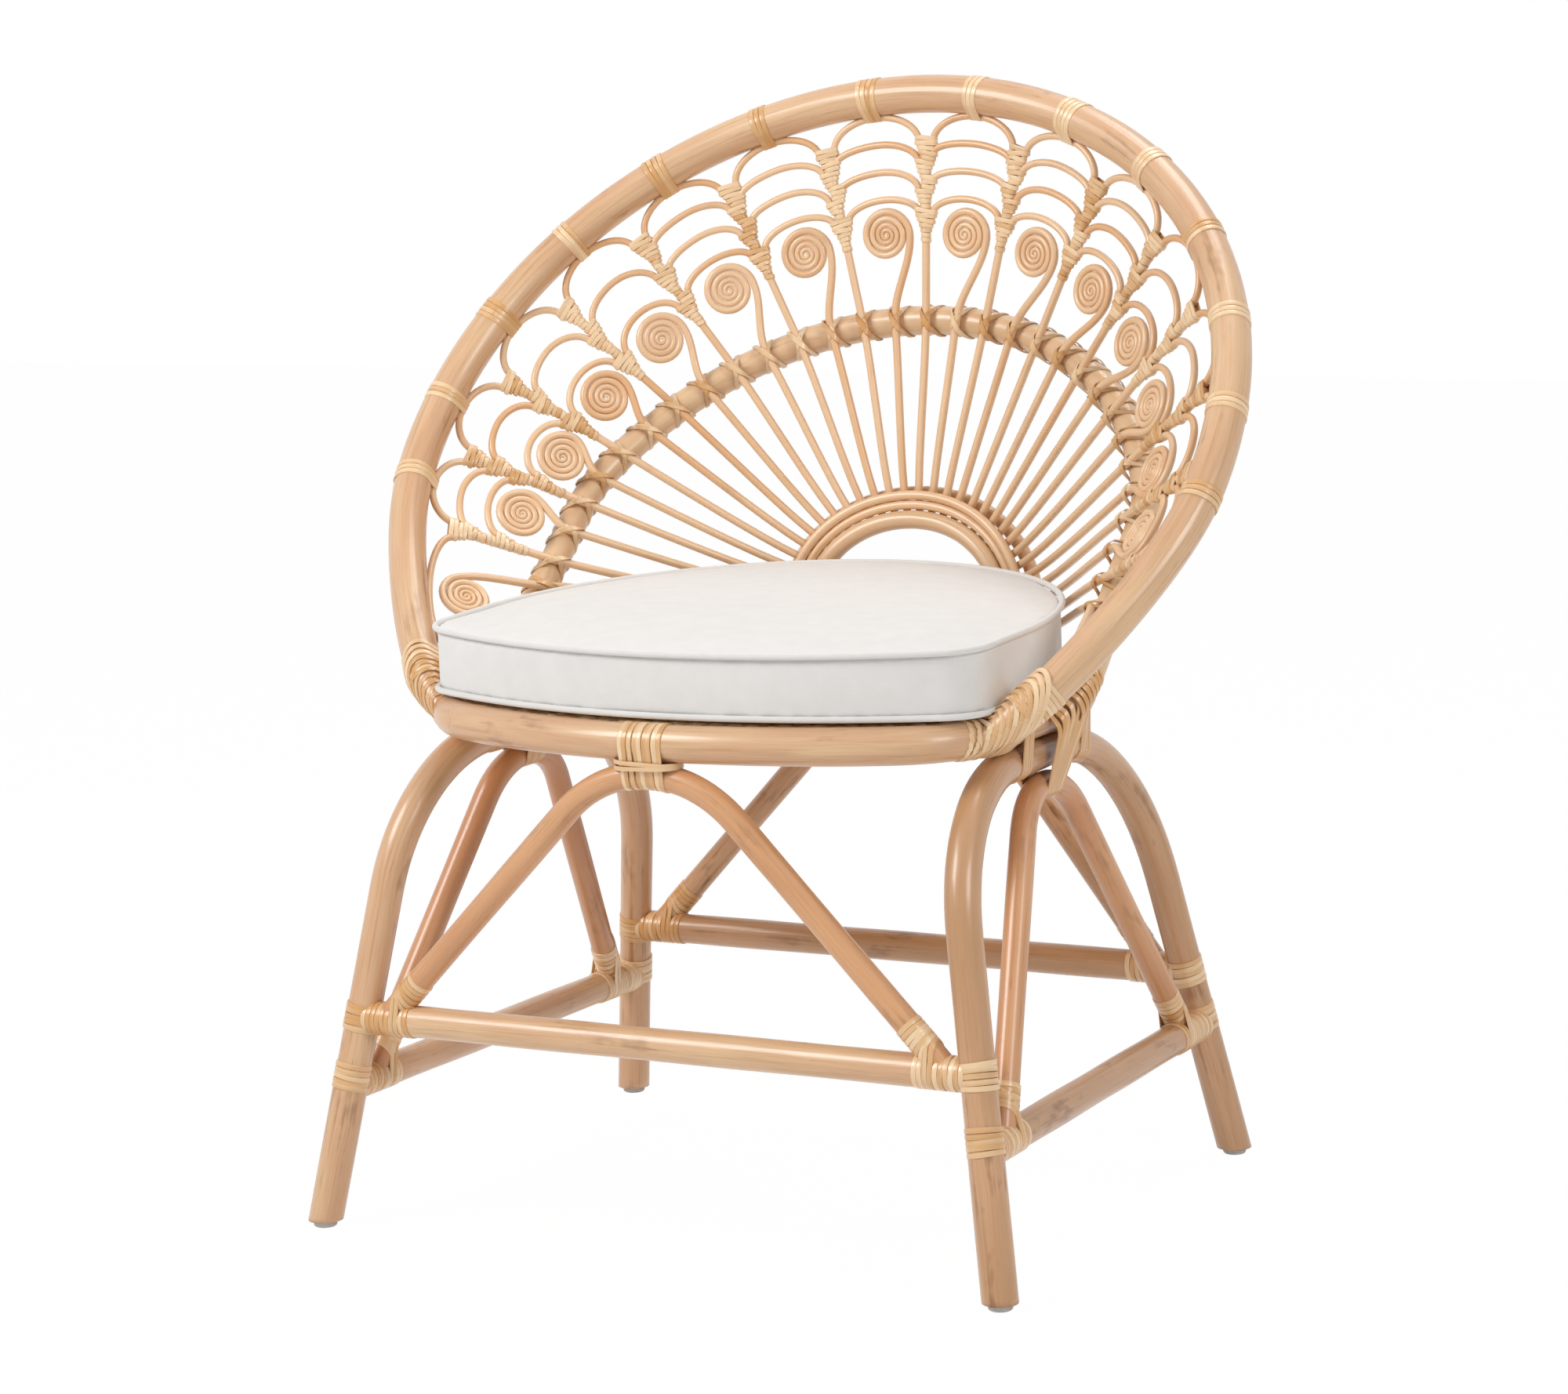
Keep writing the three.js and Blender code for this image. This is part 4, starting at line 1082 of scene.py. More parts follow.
class CHAIR_OT_stretchers(PieceOperator, bpy.types.Operator):
    """Set the four straight stretchers between the legs"""
    bl_idname = "chair.stretchers"
    bl_label = "Stretchers"

    def build(self):
        dice = random.Random(3)
        for name in ("front", "back", "left", "right"):
            stations = even_stations(stretcher_ends(name), 60)
            pole = natural_pole(stations, chair().pole.stretcher, dice)
            piece = draw_canes(f"stretcher_pole_{name}", [pole], POLE_BEVEL, dice)
            # The back and right stretchers are browner: real stains, and partly painted shade of the sides
            # away from the key light
            maker = stained_and_shaded_pole if name in ("back", "right") else lacquered_pole
            finished(piece, maker, "rattan_pole", f"stretcher_{name}")


class CHAIR_OT_braces(PieceOperator, bpy.types.Operator):
    """Bend the four braces that stand on the stretchers"""
    bl_idname = "chair.braces"
    bl_label = "Braces"

    def build(self):
        dice = random.Random(4)
        for name in ("front", "back", "left", "right"):
            stations = even_stations(brace_path(name), 110)
            pole = natural_pole(stations, chair().pole.brace, dice)
            piece = draw_canes(f"brace_pole_{name}", [pole], POLE_BEVEL, dice)
            # The back brace is browner: real stains, and partly painted shade of the back away from the key
            # light
            maker = stained_and_shaded_pole if name == "back" else amber_pole
            finished(piece, maker, "rattan_pole", f"brace_{name}")


class CHAIR_OT_rim(PieceOperator, bpy.types.Operator):
    """Bend the rim hoop, with its ends thinned where they lie on the ring"""
    bl_idname = "chair.rim"
    bl_label = "Rim hoop"

    def build(self):
        dice = random.Random(5)
        end = chair().back.rim_end
        angles = np.linspace(-end, end, 190)
        pole = natural_pole([rim_point(a) for a in angles], chair().pole.rim, dice)
        piece = draw_canes("rim_pole", [thinned(pole, angles, end, RIM_TIP)], POLE_BEVEL, dice)
        finished(piece, lacquered_pole, "rattan_pole", "rim_hoop")


class CHAIR_OT_arch(PieceOperator, bpy.types.Operator):
    """Bend the arch behind the spokes"""
    bl_idname = "chair.arch"
    bl_label = "Back arch"

    def build(self):
        dice = random.Random(6)
        end = chair().back.arch_end
        angles = np.linspace(-end, end, 140)
        pole = natural_pole([arch_point(a) for a in angles], chair().pole.arch, dice)
        pole = thinned(pole, angles, end, ARCH_TIP)._replace(tone=0)
        piece = draw_canes("arch_pole", [pole], POLE_BEVEL, dice)
        finished(piece, stained_pole, "rattan_pole", "back_arch")


class CHAIR_OT_hub(PieceOperator, bpy.types.Operator):
    """Bend the hub's pole and its three canes"""
    bl_idname = "chair.hub"
    bl_label = "Hub"

    def build(self):
        dice = random.Random(7)
        pole = chair().pole
        outer, inner, pole_inset = hub_insets()
        cane_bend = hub_cane_bend()
        back_bend = spoke_bend() + pole.spoke / 2 + pole.hub_back / 2 + FIT
        rows = (
            ("hub_arch", pole_inset, hub_bend(), pole.hub, lacquered_pole, "rattan_pole"),
            ("hub_cane_inner", inner, cane_bend, pole.hub_cane, split_cane, "rattan_cane"),
            ("hub_cane_outer", outer, cane_bend, pole.hub_cane, split_cane, "rattan_cane"),
            ("hub_back_cane", outer, back_bend, pole.hub_back, split_cane, "rattan_cane"),
        )
        angles = [-hub_foot_angle(), *np.linspace(-math.pi / 2, math.pi / 2, 60), hub_foot_angle()]
        for node, inset, bend, diameter, maker, slot in rows:
            path = even_stations([hub_point(a, inset, bend) for a in angles], 90)
            piece = draw_canes(f"{node}_bent", [cane(path, diameter, 0.35)], CANE_BEVEL + 3, dice)
            finished(piece, maker, slot, node)


class CHAIR_OT_spokes(PieceOperator, bpy.types.Operator):
    """Set the straight spokes from the hub to the scallops"""
    bl_idname = "chair.spokes"
    bl_label = "Spokes"

    def build(self):
        dice = random.Random(8)
        for i, spoke in enumerate(spoke_places()):
            tip = fan_point(spoke, chair().back.tip_drop)
            stem = spoke_stem(spoke, tip)
            stations = [*stem, *(mix(stem[-1], tip, k / 6) for k in range(1, 7))]
            spoke_cane = cane(stations, chair().pole.spoke, dice.uniform(0, 0.7))
            piece = draw_canes(f"spoke_cane_{i + 1:02d}", [spoke_cane], CANE_BEVEL + 1, dice)
            finished(piece, split_cane, "rattan_cane", f"spoke_{i + 1:02d}")


class CHAIR_OT_scrolls(PieceOperator, bpy.types.Operator):
    """Wind the scrolls at the ends of their stems"""
    bl_idname = "chair.scrolls"
    bl_label = "Scrolls"

    def build(self):
        dice = random.Random(9)
        for i, place in enumerate(cell_places()):
            stations, diameters = self.scroll(place)
            scroll_cane = cane(stations, diameters, dice.uniform(0, 0.6))
            piece = draw_canes(f"scroll_cane_{i + 1:02d}", [scroll_cane], CANE_BEVEL + 1, dice)
            finished(piece, split_cane, "rattan_cane", f"scroll_{i + 1:02d}")

    def scroll(self, place, per_turn=28):
        """A stem that sweeps round into a coil, thinning as it winds inwards."""
        back, pole = chair().back, chair().pole
        here = fan_frame(place, scroll_depth(place))
        outer = back.scroll_radius - back.scroll_cane / 2
        pitch, thinning = back.scroll_cane + back.scroll_gap, back.scroll_thinning
        turns = (pitch - math.sqrt(pitch ** 2 - 2 * thinning * (outer - back.scroll_eye))) / thinning
        coil, coil_widths = [], []
        for k in range(round(turns * per_turn) + 1):
            done = k / per_turn
            angle = 2 * math.pi * done
            reach = outer - pitch * done + thinning * done ** 2 / 2
            heading = math.cos(angle) * here.sideways + math.sin(angle) * here.outward
            coil.append(here.point + reach * heading)
            coil_widths.append(back.scroll_cane - thinning * done)
        stem = spoke_stem(place, here.point)
        start, touch = stem[-1], coil[0]
        lead = np.linalg.norm(touch - start) / 3
        leaving = start + unit(start - stem[-2]) * lead
        arriving = touch - here.outward * lead
        sweep = []
        for t in np.linspace(0, 1, 14)[1:-1]:
            sweep.append((1 - t) ** 3 * start + 3 * (1 - t) ** 2 * t * leaving
                         + 3 * (1 - t) * t ** 2 * arriving + t ** 3 * touch)
        widths = [pole.spoke] * len(stem) + list(np.linspace(pole.spoke, back.scroll_cane, len(sweep)))
        return [*stem, *sweep, *coil], widths + coil_widths


class CHAIR_OT_scallops(PieceOperator, bpy.types.Operator):
    """Bend the arcs between the spokes, row by row"""
    bl_idname = "chair.scallops"
    bl_label = "Scallops"

    def build(self):
        dice = random.Random(10)
        for row in range(4):
            arcs = []
            for cell in cell_places():
                found = cell_arcs(cell)
                if row < len(found):
                    arcs.append(self.arc(cell, *found[row], dice.random()))
            piece = draw_canes(f"scallop_arcs_{row + 1}", arcs, CANE_BEVEL, dice)
            finished(piece, split_cane, "rattan_cane", f"scallop_row_{row + 1}")

    def arc(self, cell, crown, feet, tone, steps=26):
        """One arc: a round crown, and two feet cut slanting that lie along the spokes."""
        pole, back = chair().pole, chair().back
        stations, widths = [], []
        for t in np.linspace(-1, 1, steps):
            foot = feet[0] if t < 0 else feet[1]
            depth = mix(foot, crown, math.cos(math.pi / 2 * t))
            cell_width = np.linalg.norm(fan_point(cell + 0.5, depth) - fan_point(cell - 0.5, depth))
            reach = 0.5 - foot_aside() / cell_width
            stations.append(fan_point(cell + reach * math.sin(math.pi / 2 * t), depth))
            widths.append(pole.scallop)
        for end, side in ((0, -1), (1, 1)):
            tail, tail_widths = [], []
            for k in (0.3, 0.65, 1):
                spoke = fan_frame(cell + side * 0.5, feet[end] + back.foot_length * k)
                tail.append(spoke.point - side * spoke.sideways * foot_aside(k))
                tail_widths.append(2 * foot_radius(k))
            if end:
                stations, widths = stations + tail, widths + tail_widths
            else:
                stations, widths = tail[::-1] + stations, tail_widths[::-1] + widths
        return cane(stations, widths, tone)


class CHAIR_OT_column_wraps(PieceOperator, bpy.types.Operator):
    """Wind peel round each spoke and the feet of the arcs beside it"""
    bl_idname = "chair.column_wraps"
    bl_label = "Spoke wraps"

    def build(self):
        strips = Strips(21, darkest=0.7)
        for spoke in spoke_places():
            self.wrap(strips, spoke)
        finished(strips.piece("spoke_wraps"), rattan_peel, "rattan_peel")

    def wrap(self, strips, spoke):
        """Turns side by side, from above the first foot to below the last one, each round what lies there."""
        back, pole, width = chair().back, chair().pole, chair().peel.wrap
        feet = []
        for side in (-1, 1):
            for _, depths in cell_arcs(spoke + side * 0.5):
                feet.append((side, depths[0] if side > 0 else depths[1]))
        first = min(depth for _, depth in feet) - width
        last = max(depth for _, depth in feet) + back.foot_length + 2 * width
        tone, slant = strips.new_tone(), strips.dice.uniform(-0.15, 0.15)
        for k, depth in enumerate(np.arange(first, last, width * PEEL_PITCH)):
            here = fan_frame(spoke, depth)
            rods = [Rod(here.point, here.outward, pole.spoke / 2)]
            for side, foot in feet:
                share = (depth - foot) / back.foot_length
                if -width / back.foot_length <= share <= 1:
                    share = max(share, 0)
                    beside = here.point + here.sideways * side * foot_aside(share)
                    rods.append(Rod(beside, here.outward, foot_radius(share)))
            normal = turned(here.outward, here.facing, slant + strips.dice.uniform(-0.12, 0.12))
            strips.loop(here.point, normal, rods, width, FIT * (k % 2), count=18, tone=strips.near(tone))


class CHAIR_OT_rim_ties(PieceOperator, bpy.types.Operator):
    """Tie the top of each outer arc to the rim"""
    bl_idname = "chair.rim_ties"
    bl_label = "Rim ties"

    def build(self):
        pole, width = chair().pole, chair().peel.strip
        strips = Strips(22, palest=0.2, darkest=0.8)
        for cell in cell_places()[1:-1]:
            rim = fan_frame(cell, 0)
            crown = fan_point(cell, cell_arcs(cell)[0][0])
            rods = [Rod(rim.point, rim.sideways, pole.rim / 2), Rod(crown, rim.sideways, pole.scallop / 2)]
            skew = strips.dice.uniform(-0.1, 0.1)
            tone = strips.new_tone()
            turns = strips.dice.choice((3, 3, 4))
            for k in range(turns):
                aside = (k - (turns - 1) / 2) * width * PEEL_PITCH
                # The strips draw together towards the arc
                normal = unit(rim.sideways - rim.outward * 0.3 * aside / pole.rim)
                normal = turned(normal, rim.outward, skew)
                centre = rim.point + rim.sideways * aside
                strips.loop(centre, normal, rods, width, count=36, tone=strips.near(tone, 0.25))
        finished(strips.piece("rim_ties"), rattan_peel, "rattan_peel")


class CHAIR_OT_crossing_ties(PieceOperator, bpy.types.Operator):
    """Tie each spoke and stem to the arch with a cross of peel"""
    bl_idname = "chair.crossing_ties"
    bl_label = "Crossing ties"
    least_angle = math.radians(25)

    def build(self):
        pole, peel = chair().pole, chair().peel
        strips = Strips(23)
        for place in sorted([*spoke_places(), *cell_places()]):
            angle = arch_angle(place)
            arch = Rod(arch_point(angle), arch_axis(angle), pole.arch / 2)
            middle = crossing(place)
            spoke = Rod(middle, fan_frame(place, 0).outward, pole.spoke / 2)
            out = unit(middle - arch.point)
            across = unit(spoke.axis - arch.axis * np.dot(spoke.axis, arch.axis))
            meeting = math.acos(np.dot(spoke.axis, arch.axis))
            tone = strips.new_tone()
            for layer, lean in enumerate((-1, 1)):
                # A strip keeps well off the spoke's own direction, or its loop would be drawn out long
                slant = math.pi / 2 + lean * strips.dice.uniform(0.42, 0.52)
                if abs(slant - meeting) < self.least_angle:
                    slant = meeting + math.copysign(self.least_angle, slant - meeting)
                way = math.cos(slant) * arch.axis + math.sin(slant) * across
                normal = unit(np.cross(out, way))
                clear = layer * peel.thickness * 0.9
                strips.loop(middle, normal, [arch, spoke], peel.tie, clear, count=36, tone=tone)
        finished(strips.piece("crossing_ties"), rattan_peel, "rattan_peel")


class CHAIR_OT_leg_lashings(PieceOperator, bpy.types.Operator):
    """Lash each stretcher's end and brace's foot to its leg"""
    bl_idname = "chair.leg_lashings"
    bl_label = "Leg lashings"

    # The bands of the side stretchers sit a little higher than the stretchers themselves
    side_band_rise = 7 * MM
    # Where the loops of a stretcher also take in the brace, past its foot, as shares of the brace's thickness
    brace_span = (0.33, 0.85)
    fan_strips = 6

    def build(self):
        leg = chair().leg
        strips = Strips(24, palest=0.2, darkest=0.8)
        for name, side in SIDES:
            for end in ENDS:
                rod = leg_rod(side, end, leg.front_height if end == "front" else leg.back_height)
                self.lash(strips, rod, end, 0 if side < 0 else 1, leg.cross_inset)
                rod = leg_rod(side, end, leg.side_height + self.side_band_rise)
                inset = leg.side_front_inset if end == "front" else leg.side_back_inset
                self.lash(strips, rod, name, 0 if end == "front" else 1, inset)
        finished(strips.piece("leg_lashings"), rattan_peel, "rattan_peel")

    def lash(self, strips, leg, name, end, inset):
        """A band on the leg, a row of loops round the stretcher, and a fan up the brace's foot."""
        pole, width = chair().pole, chair().peel.strip
        ends = stretcher_ends(name)
        inward = unit(ends[1 - end] - ends[end])
        stretcher = Rod(ends[end], inward, pole.stretcher / 2)
        path = brace_path(name)
        foot, next_up = (path[0], path[1]) if end == 0 else (path[-1], path[-2])
        brace = Rod(foot, unit(next_up - foot), pole.brace / 2)
        tone = strips.new_tone()
        strips.band(leg, 5, width, tone=tone)
        start = pole.leg / 2 - width * 1.2
        reach = inset + pole.brace * 1.2
        nearest_turn, furthest_turn = self.brace_span
        for s in np.arange(start, reach, width * PEEL_PITCH):
            with_brace = nearest_turn < (s - inset) / pole.brace < furthest_turn
            rods = [stretcher, brace] if with_brace else [stretcher]
            normal = turned(inward, np.cross(inward, UP), strips.dice.uniform(-0.08, 0.08))
            strips.loop(ends[end] + inward * s, normal, rods, width, count=32, tone=strips.near(tone))
        rise = pole.stretcher / 2 + width
        for k in range(self.fan_strips):
            centre = foot + brace.axis * (rise / brace.axis[2] + k * width * PEEL_PITCH)
            # The strips lie along the stretcher's loops at first, and square to the brace at the top
            normal = unit(mix(inward, brace.axis, min(1, 0.5 + 0.15 * k)))
            strips.loop(centre, normal, [brace], width, tone=strips.near(tone))


def nearest(stations, x=None, y=None):
    """The station nearest to a place across or along the chair, and the path's direction there."""
    target, axis = (x, 0) if y is None else (y + SHIFT_Y, 1)
    i = min(range(len(stations)), key=lambda k: abs(stations[k][axis] - target))
    return stations[i], unit(stations[(i + 1) % len(stations)] - stations[i - 1])


class CHAIR_OT_seat_lashings(PieceOperator, bpy.types.Operator):
    """Lash the braces, the side arches, the arch and the hub to the seat ring"""
    bl_idname = "chair.seat_lashings"
    bl_label = "Seat lashings"

    # Half the distance between the round ends of the strips that cinch a brace's lashing
    cinch = 13 * MM
    # The side ties' first group, from the seat's middle, and its last two, from the brace's top
    front_tie = -58 * MM
    back_ties = (34 * MM, 62 * MM)

    def build(self):
        front, rest = Strips(25, palest=0.3, darkest=0.8), Strips(26, palest=0.8)
        self.brace_top(front, "front")
        finished(front.piece("front_lashing"), rattan_peel, "rattan_peel", "lashing_front")
        self.brace_top(rest, "back")
        for _, side in SIDES:
            self.side_ties(rest, side)
            self.arch_foot(rest, side)
            self.hub_foot(rest, side)
        finished(rest.piece("seat_lashings"), rattan_peel, "rattan_peel")

    def ring_rod(self, stations, **where):
        """The seat ring as a rod, nearest to a place."""
        point, axis = nearest(stations, **where)
        return Rod(point, axis, chair().pole.ring / 2)

    def brace_top(self, strips, name, turns=9):
        """Nine strips round the ring and a brace's top, cinched by two more between the poles."""
        pole, width, seat = chair().pole, chair().peel.strip, chair().seat
        half = [p for p in ring_stations(900) if (p[1] < SHIFT_Y) == (name == "front")]
        ring = sorted(half, key=itemgetter(0))
        brace = even_stations(brace_path(name), 500)
        bend = sorted((p for p in brace if p[2] > seat.height - pole.ring * 2), key=itemgetter(0))
        tone = strips.new_tone()
        for k in range(turns):
            x = (k - (turns - 1) / 2) * width * PEEL_PITCH
            brace_point, brace_axis = nearest(bend, x=x)
            rods = [self.ring_rod(ring, x=x), Rod(brace_point, brace_axis, pole.brace / 2)]
            normal = np.array((1, strips.dice.uniform(-0.03, 0.03), strips.dice.uniform(-0.03, 0.03)))
            strips.loop(rods[0].point, unit(normal), rods, width, count=40, tone=strips.near(tone))
        y = nearest(ring, x=0)[0][1] - SHIFT_Y
        z = seat.height - pole.ring / 2
        posts = [Rod(place_at(x, y, z), UP, pole.ring / 2) for x in (-self.cinch, self.cinch)]
        narrow = width * 0.8
        for k in range(2):
            normal = unit(np.array((0.03 * (1 - 2 * k), 0, 1)))
            strips.loop(place_at(0, y, z - k * narrow), normal, posts, narrow, count=40, tone=tone)

    def side_ties(self, strips, side):
        """Strips from the ring down round a side arch, the widest group also round the brace's top."""
        pole, width = chair().pole, chair().peel.strip
        sides = [p for p in ring_stations(900) if p[0] * side > 0 and p[1] > SHIFT_Y - 150 * MM]
        ring = sorted(sides, key=itemgetter(1))
        arch = even_stations(side_arch_path(side, 100 * MM), 900)
        arch = [p for p in arch if p[2] > leg_top() - pole.leg]
        brace = even_stations(brace_path(("left", "right")[side > 0]), 500)
        peak = max(brace, key=itemgetter(2))
        brace_y = peak[1] - SHIFT_Y
        middle, last = (brace_y + past for past in self.back_ties)
        groups = ((self.front_tie, 4, False), (brace_y, 9, True), (middle, 5, False), (last, 4, False))
        end = chair().back.arch_end
        behind = [arch_point(side * a) for a in np.linspace(end, end - END_TAPER, 60)]
        for y, turns, with_brace in groups:
            tone = strips.new_tone()
            for k in range(turns):
                aside = (k - (turns - 1) / 2) * width * PEEL_PITCH
                rods = [self.ring_rod(ring, y=y + aside)]
                point, axis = nearest(arch, y=y + aside)
                rods.append(Rod(point, axis, pole.leg / 2))
                foot = point
                # The strips beside the back arch's thinned end take it in too
                beside_arch = y > brace_y and y + aside + SHIFT_Y < behind[-1][1]
                if with_brace or beside_arch:
                    tip, _ = nearest(behind[1:-1], y=y + aside)
                    rods.append(Rod(tip, arch_axis(side * end), 0.8 * pole.arch / 2))
                if with_brace:
                    rods.append(Rod(peak, np.array((0, 1, 0)), pole.brace / 2))
                    foot = peak + np.array((0, aside * 0.7, 0))
                down = foot - rods[0].point
                normal = unit(np.array((0, -down[2], down[1])))
                strips.loop(rods[0].point, normal, rods, width, count=40, tone=strips.near(tone))

    def arch_foot(self, strips, side, turns=7):
        """Strips round the arch's foot and the ring."""
        pole, width = chair().pole, chair().peel.strip
        end = chair().back.arch_end
        ring = sorted((p for p in ring_stations(900) if p[0] * side > 0), key=itemgetter(1))
        tone = strips.new_tone()
        for k in range(turns):
            angle = side * (end - (k + 0.5) * width * PEEL_PITCH / chair().seat.behind)
            arch = Rod(arch_point(angle), arch_axis(angle), pole.arch / 2)
            rods = [arch, self.ring_rod(ring, y=arch.point[1] - SHIFT_Y)]
            normal = unit(arch.axis * np.sign(arch.axis[1]) + rods[1].axis * np.sign(rods[1].axis[1]))
            strips.loop(arch.point, normal, rods, width, count=36, tone=strips.near(tone))

    def hub_foot(self, strips, side, turns=5):
        """A band round the hub's pole and canes where they stand behind the ring."""
        pole, back, seat, width = chair().pole, chair().back, chair().seat, chair().peel.strip
        low = side * hub_foot_angle()
        *cane_insets, pole_inset = hub_insets()
        rods = [Rod(hub_point(low, inset, hub_cane_bend()), UP, pole.hub_cane / 2) for inset in cane_insets]
        rods.append(Rod(hub_point(low, pole_inset, hub_bend()), UP, pole.hub / 2))
        tone = strips.new_tone()
        for k in range(turns):
            centre = rods[0].point.copy()
            centre[2] = seat.height + back.hub_leg_above / 2 + k * width * PEEL_PITCH
            strips.loop(centre, UP, rods, width, count=32, tone=tone)


class CHAIR_OT_rim_lashings(PieceOperator, bpy.types.Operator):
    """Bind the rim's thinned ends to the seat ring"""
    bl_idname = "chair.rim_lashings"
    bl_label = "Rim end lashings"

    # The band on the rim: its turns, and how far behind the rim's tip it starts
    band_turns = 8
    band_start = 44 * MM
    # The strips over it: how many, how far before the tip they start, and how far the first and the last lean
    strip_count = 13
    strip_start = 14 * MM
    least_lean = 3
    most_lean = 20

    def build(self):
        strips = Strips(27, palest=0.5, darkest=0.7)
        for _, side in SIDES:
            self.bind(strips, side)
        finished(strips.piece("rim_lashings"), rattan_peel, "rattan_peel")

    def bind(self, strips, side):
        """A band on the rim, and over it strips round rim and ring that lean more and more along the rim."""
        width = chair().peel.wrap
        step = width * PEEL_PITCH
        ring = [p for p in ring_stations(1200) if p[0] * side > 0 and p[1] < SHIFT_Y]
        tone = strips.new_tone()
        for k in range(self.band_turns):
            *_, rim = self.joint(ring, side, self.band_start + k * step)[-1]
            strips.loop(rim.point, rim.axis, [rim], width, count=36, tone=strips.near(tone, 0.35))
        for k in range(self.strip_count):
            lean = mix(self.least_lean, self.most_lean, k / (self.strip_count - 1)) * MM
            middle = k * step - self.strip_start + lean
            # The strips climb over the band, and every other one lies a little higher
            over = chair().peel.thickness * min(1, max(0, k - 4) / 4) + 0.25 * MM * (k % 2)
            shade = strips.near(tone, 0.35)
            stations, normals = [], []
            for angle in np.linspace(0, 2 * math.pi, 44, endpoint=False):
                _, facing = strips.around(angle, *self.joint(ring, side, middle))
                leaned = self.joint(ring, side, middle + lean * facing[2])
                point, facing = strips.around(angle, *leaned, over)
                stations.append(point)
                normals.append(facing)
            strips.lay(stations, normals, width, shade)

    def joint(self, ring, side, along):
        """A cut so far behind the rim's tip, or before it: its place, its normal and the rods it meets."""
        pole, back = chair().pole, chair().back
        past = max(along, 0) / (chair().seat.half_width + back.rim_overhang)
        angle = side * (back.rim_end - past)
        axis = unit(rim_point(angle + 0.01) - rim_point(angle - 0.01))
        rim_radius = pole.rim / 2 * mix(RIM_TIP, 1, min(1, past / END_TAPER))
        rim = Rod(rim_point(angle), axis * np.sign(axis[1]), rim_radius)
        near = min(range(1, len(ring) - 1), key=lambda j: np.linalg.norm(ring[j] - rim.point))
        spacing = np.linalg.norm(ring[1] - ring[0])
        if along < 0:
            forward = 1 if ring[near + 1][1] < ring[near][1] else -1
            near = min(max(near + forward * round(-along / spacing), 1), len(ring) - 2)
        axis = unit(ring[near + 1] - ring[near - 1])
        below = Rod(ring[near], axis * np.sign(axis[1]), pole.ring / 2)
        if along < 0:
            return below.point, below.axis, [below]
        return rim.point, unit(rim.axis + below.axis), [below, rim]


class CHAIR_OT_deck(PieceOperator, bpy.types.Operator):
    """Weave the deck of flat strips inside the ring"""
    bl_idname = "chair.deck"
    bl_label = "Woven deck"

    def build(self):
        seat = chair().seat
        strips = Strips(28)
        level = seat.height + chair().pole.ring / 2 - seat.deck_drop
        edge = np.array(outline_stations(ring_outline(), 6 * MM, level, 240))
        pitch = seat.deck_strip * 1.06
        centre = edge.mean(axis=0)
        reach = int(np.ptp(edge[:, 1]) / pitch)
        for warp, heading in enumerate((math.radians(45), math.radians(-45))):
            way = np.array((math.cos(heading), math.sin(heading), 0))
            aside = np.array((-way[1], way[0], 0))
            for k in range(-reach, reach + 1):
                self.strip(strips, edge, centre, way, aside, k, pitch, warp)
        finished(strips.piece("woven_deck"), rattan_peel, "rattan_peel", "seat_deck")

    def strip(self, strips, edge, centre, way, aside, k, pitch, warp):
        """One strip, from edge to edge, over one strip of the other set and under the next."""
        offsets = (edge - centre) @ aside - k * pitch
        places = (edge - centre) @ way
        ends = []
        for i, j in zip(range(len(edge)), [*range(1, len(edge)), 0]):
            if offsets[i] * offsets[j] < 0:
                share = offsets[i] / (offsets[i] - offsets[j])
                ends.append(mix(places[i], places[j], share))
        if len(ends) != 2 or abs(ends[1] - ends[0]) < 2 * pitch:
            return
        low, high = sorted(ends)
        stations = []
        for s in np.arange(low, high, pitch / 3):
            over = math.cos(math.pi * (s / pitch + k + warp)) * chair().seat.deck_weave
            stations.append(centre + way * s + aside * k * pitch + UP * over)
        strips.lay(stations, [UP] * len(stations), chair().seat.deck_strip, closed=False)


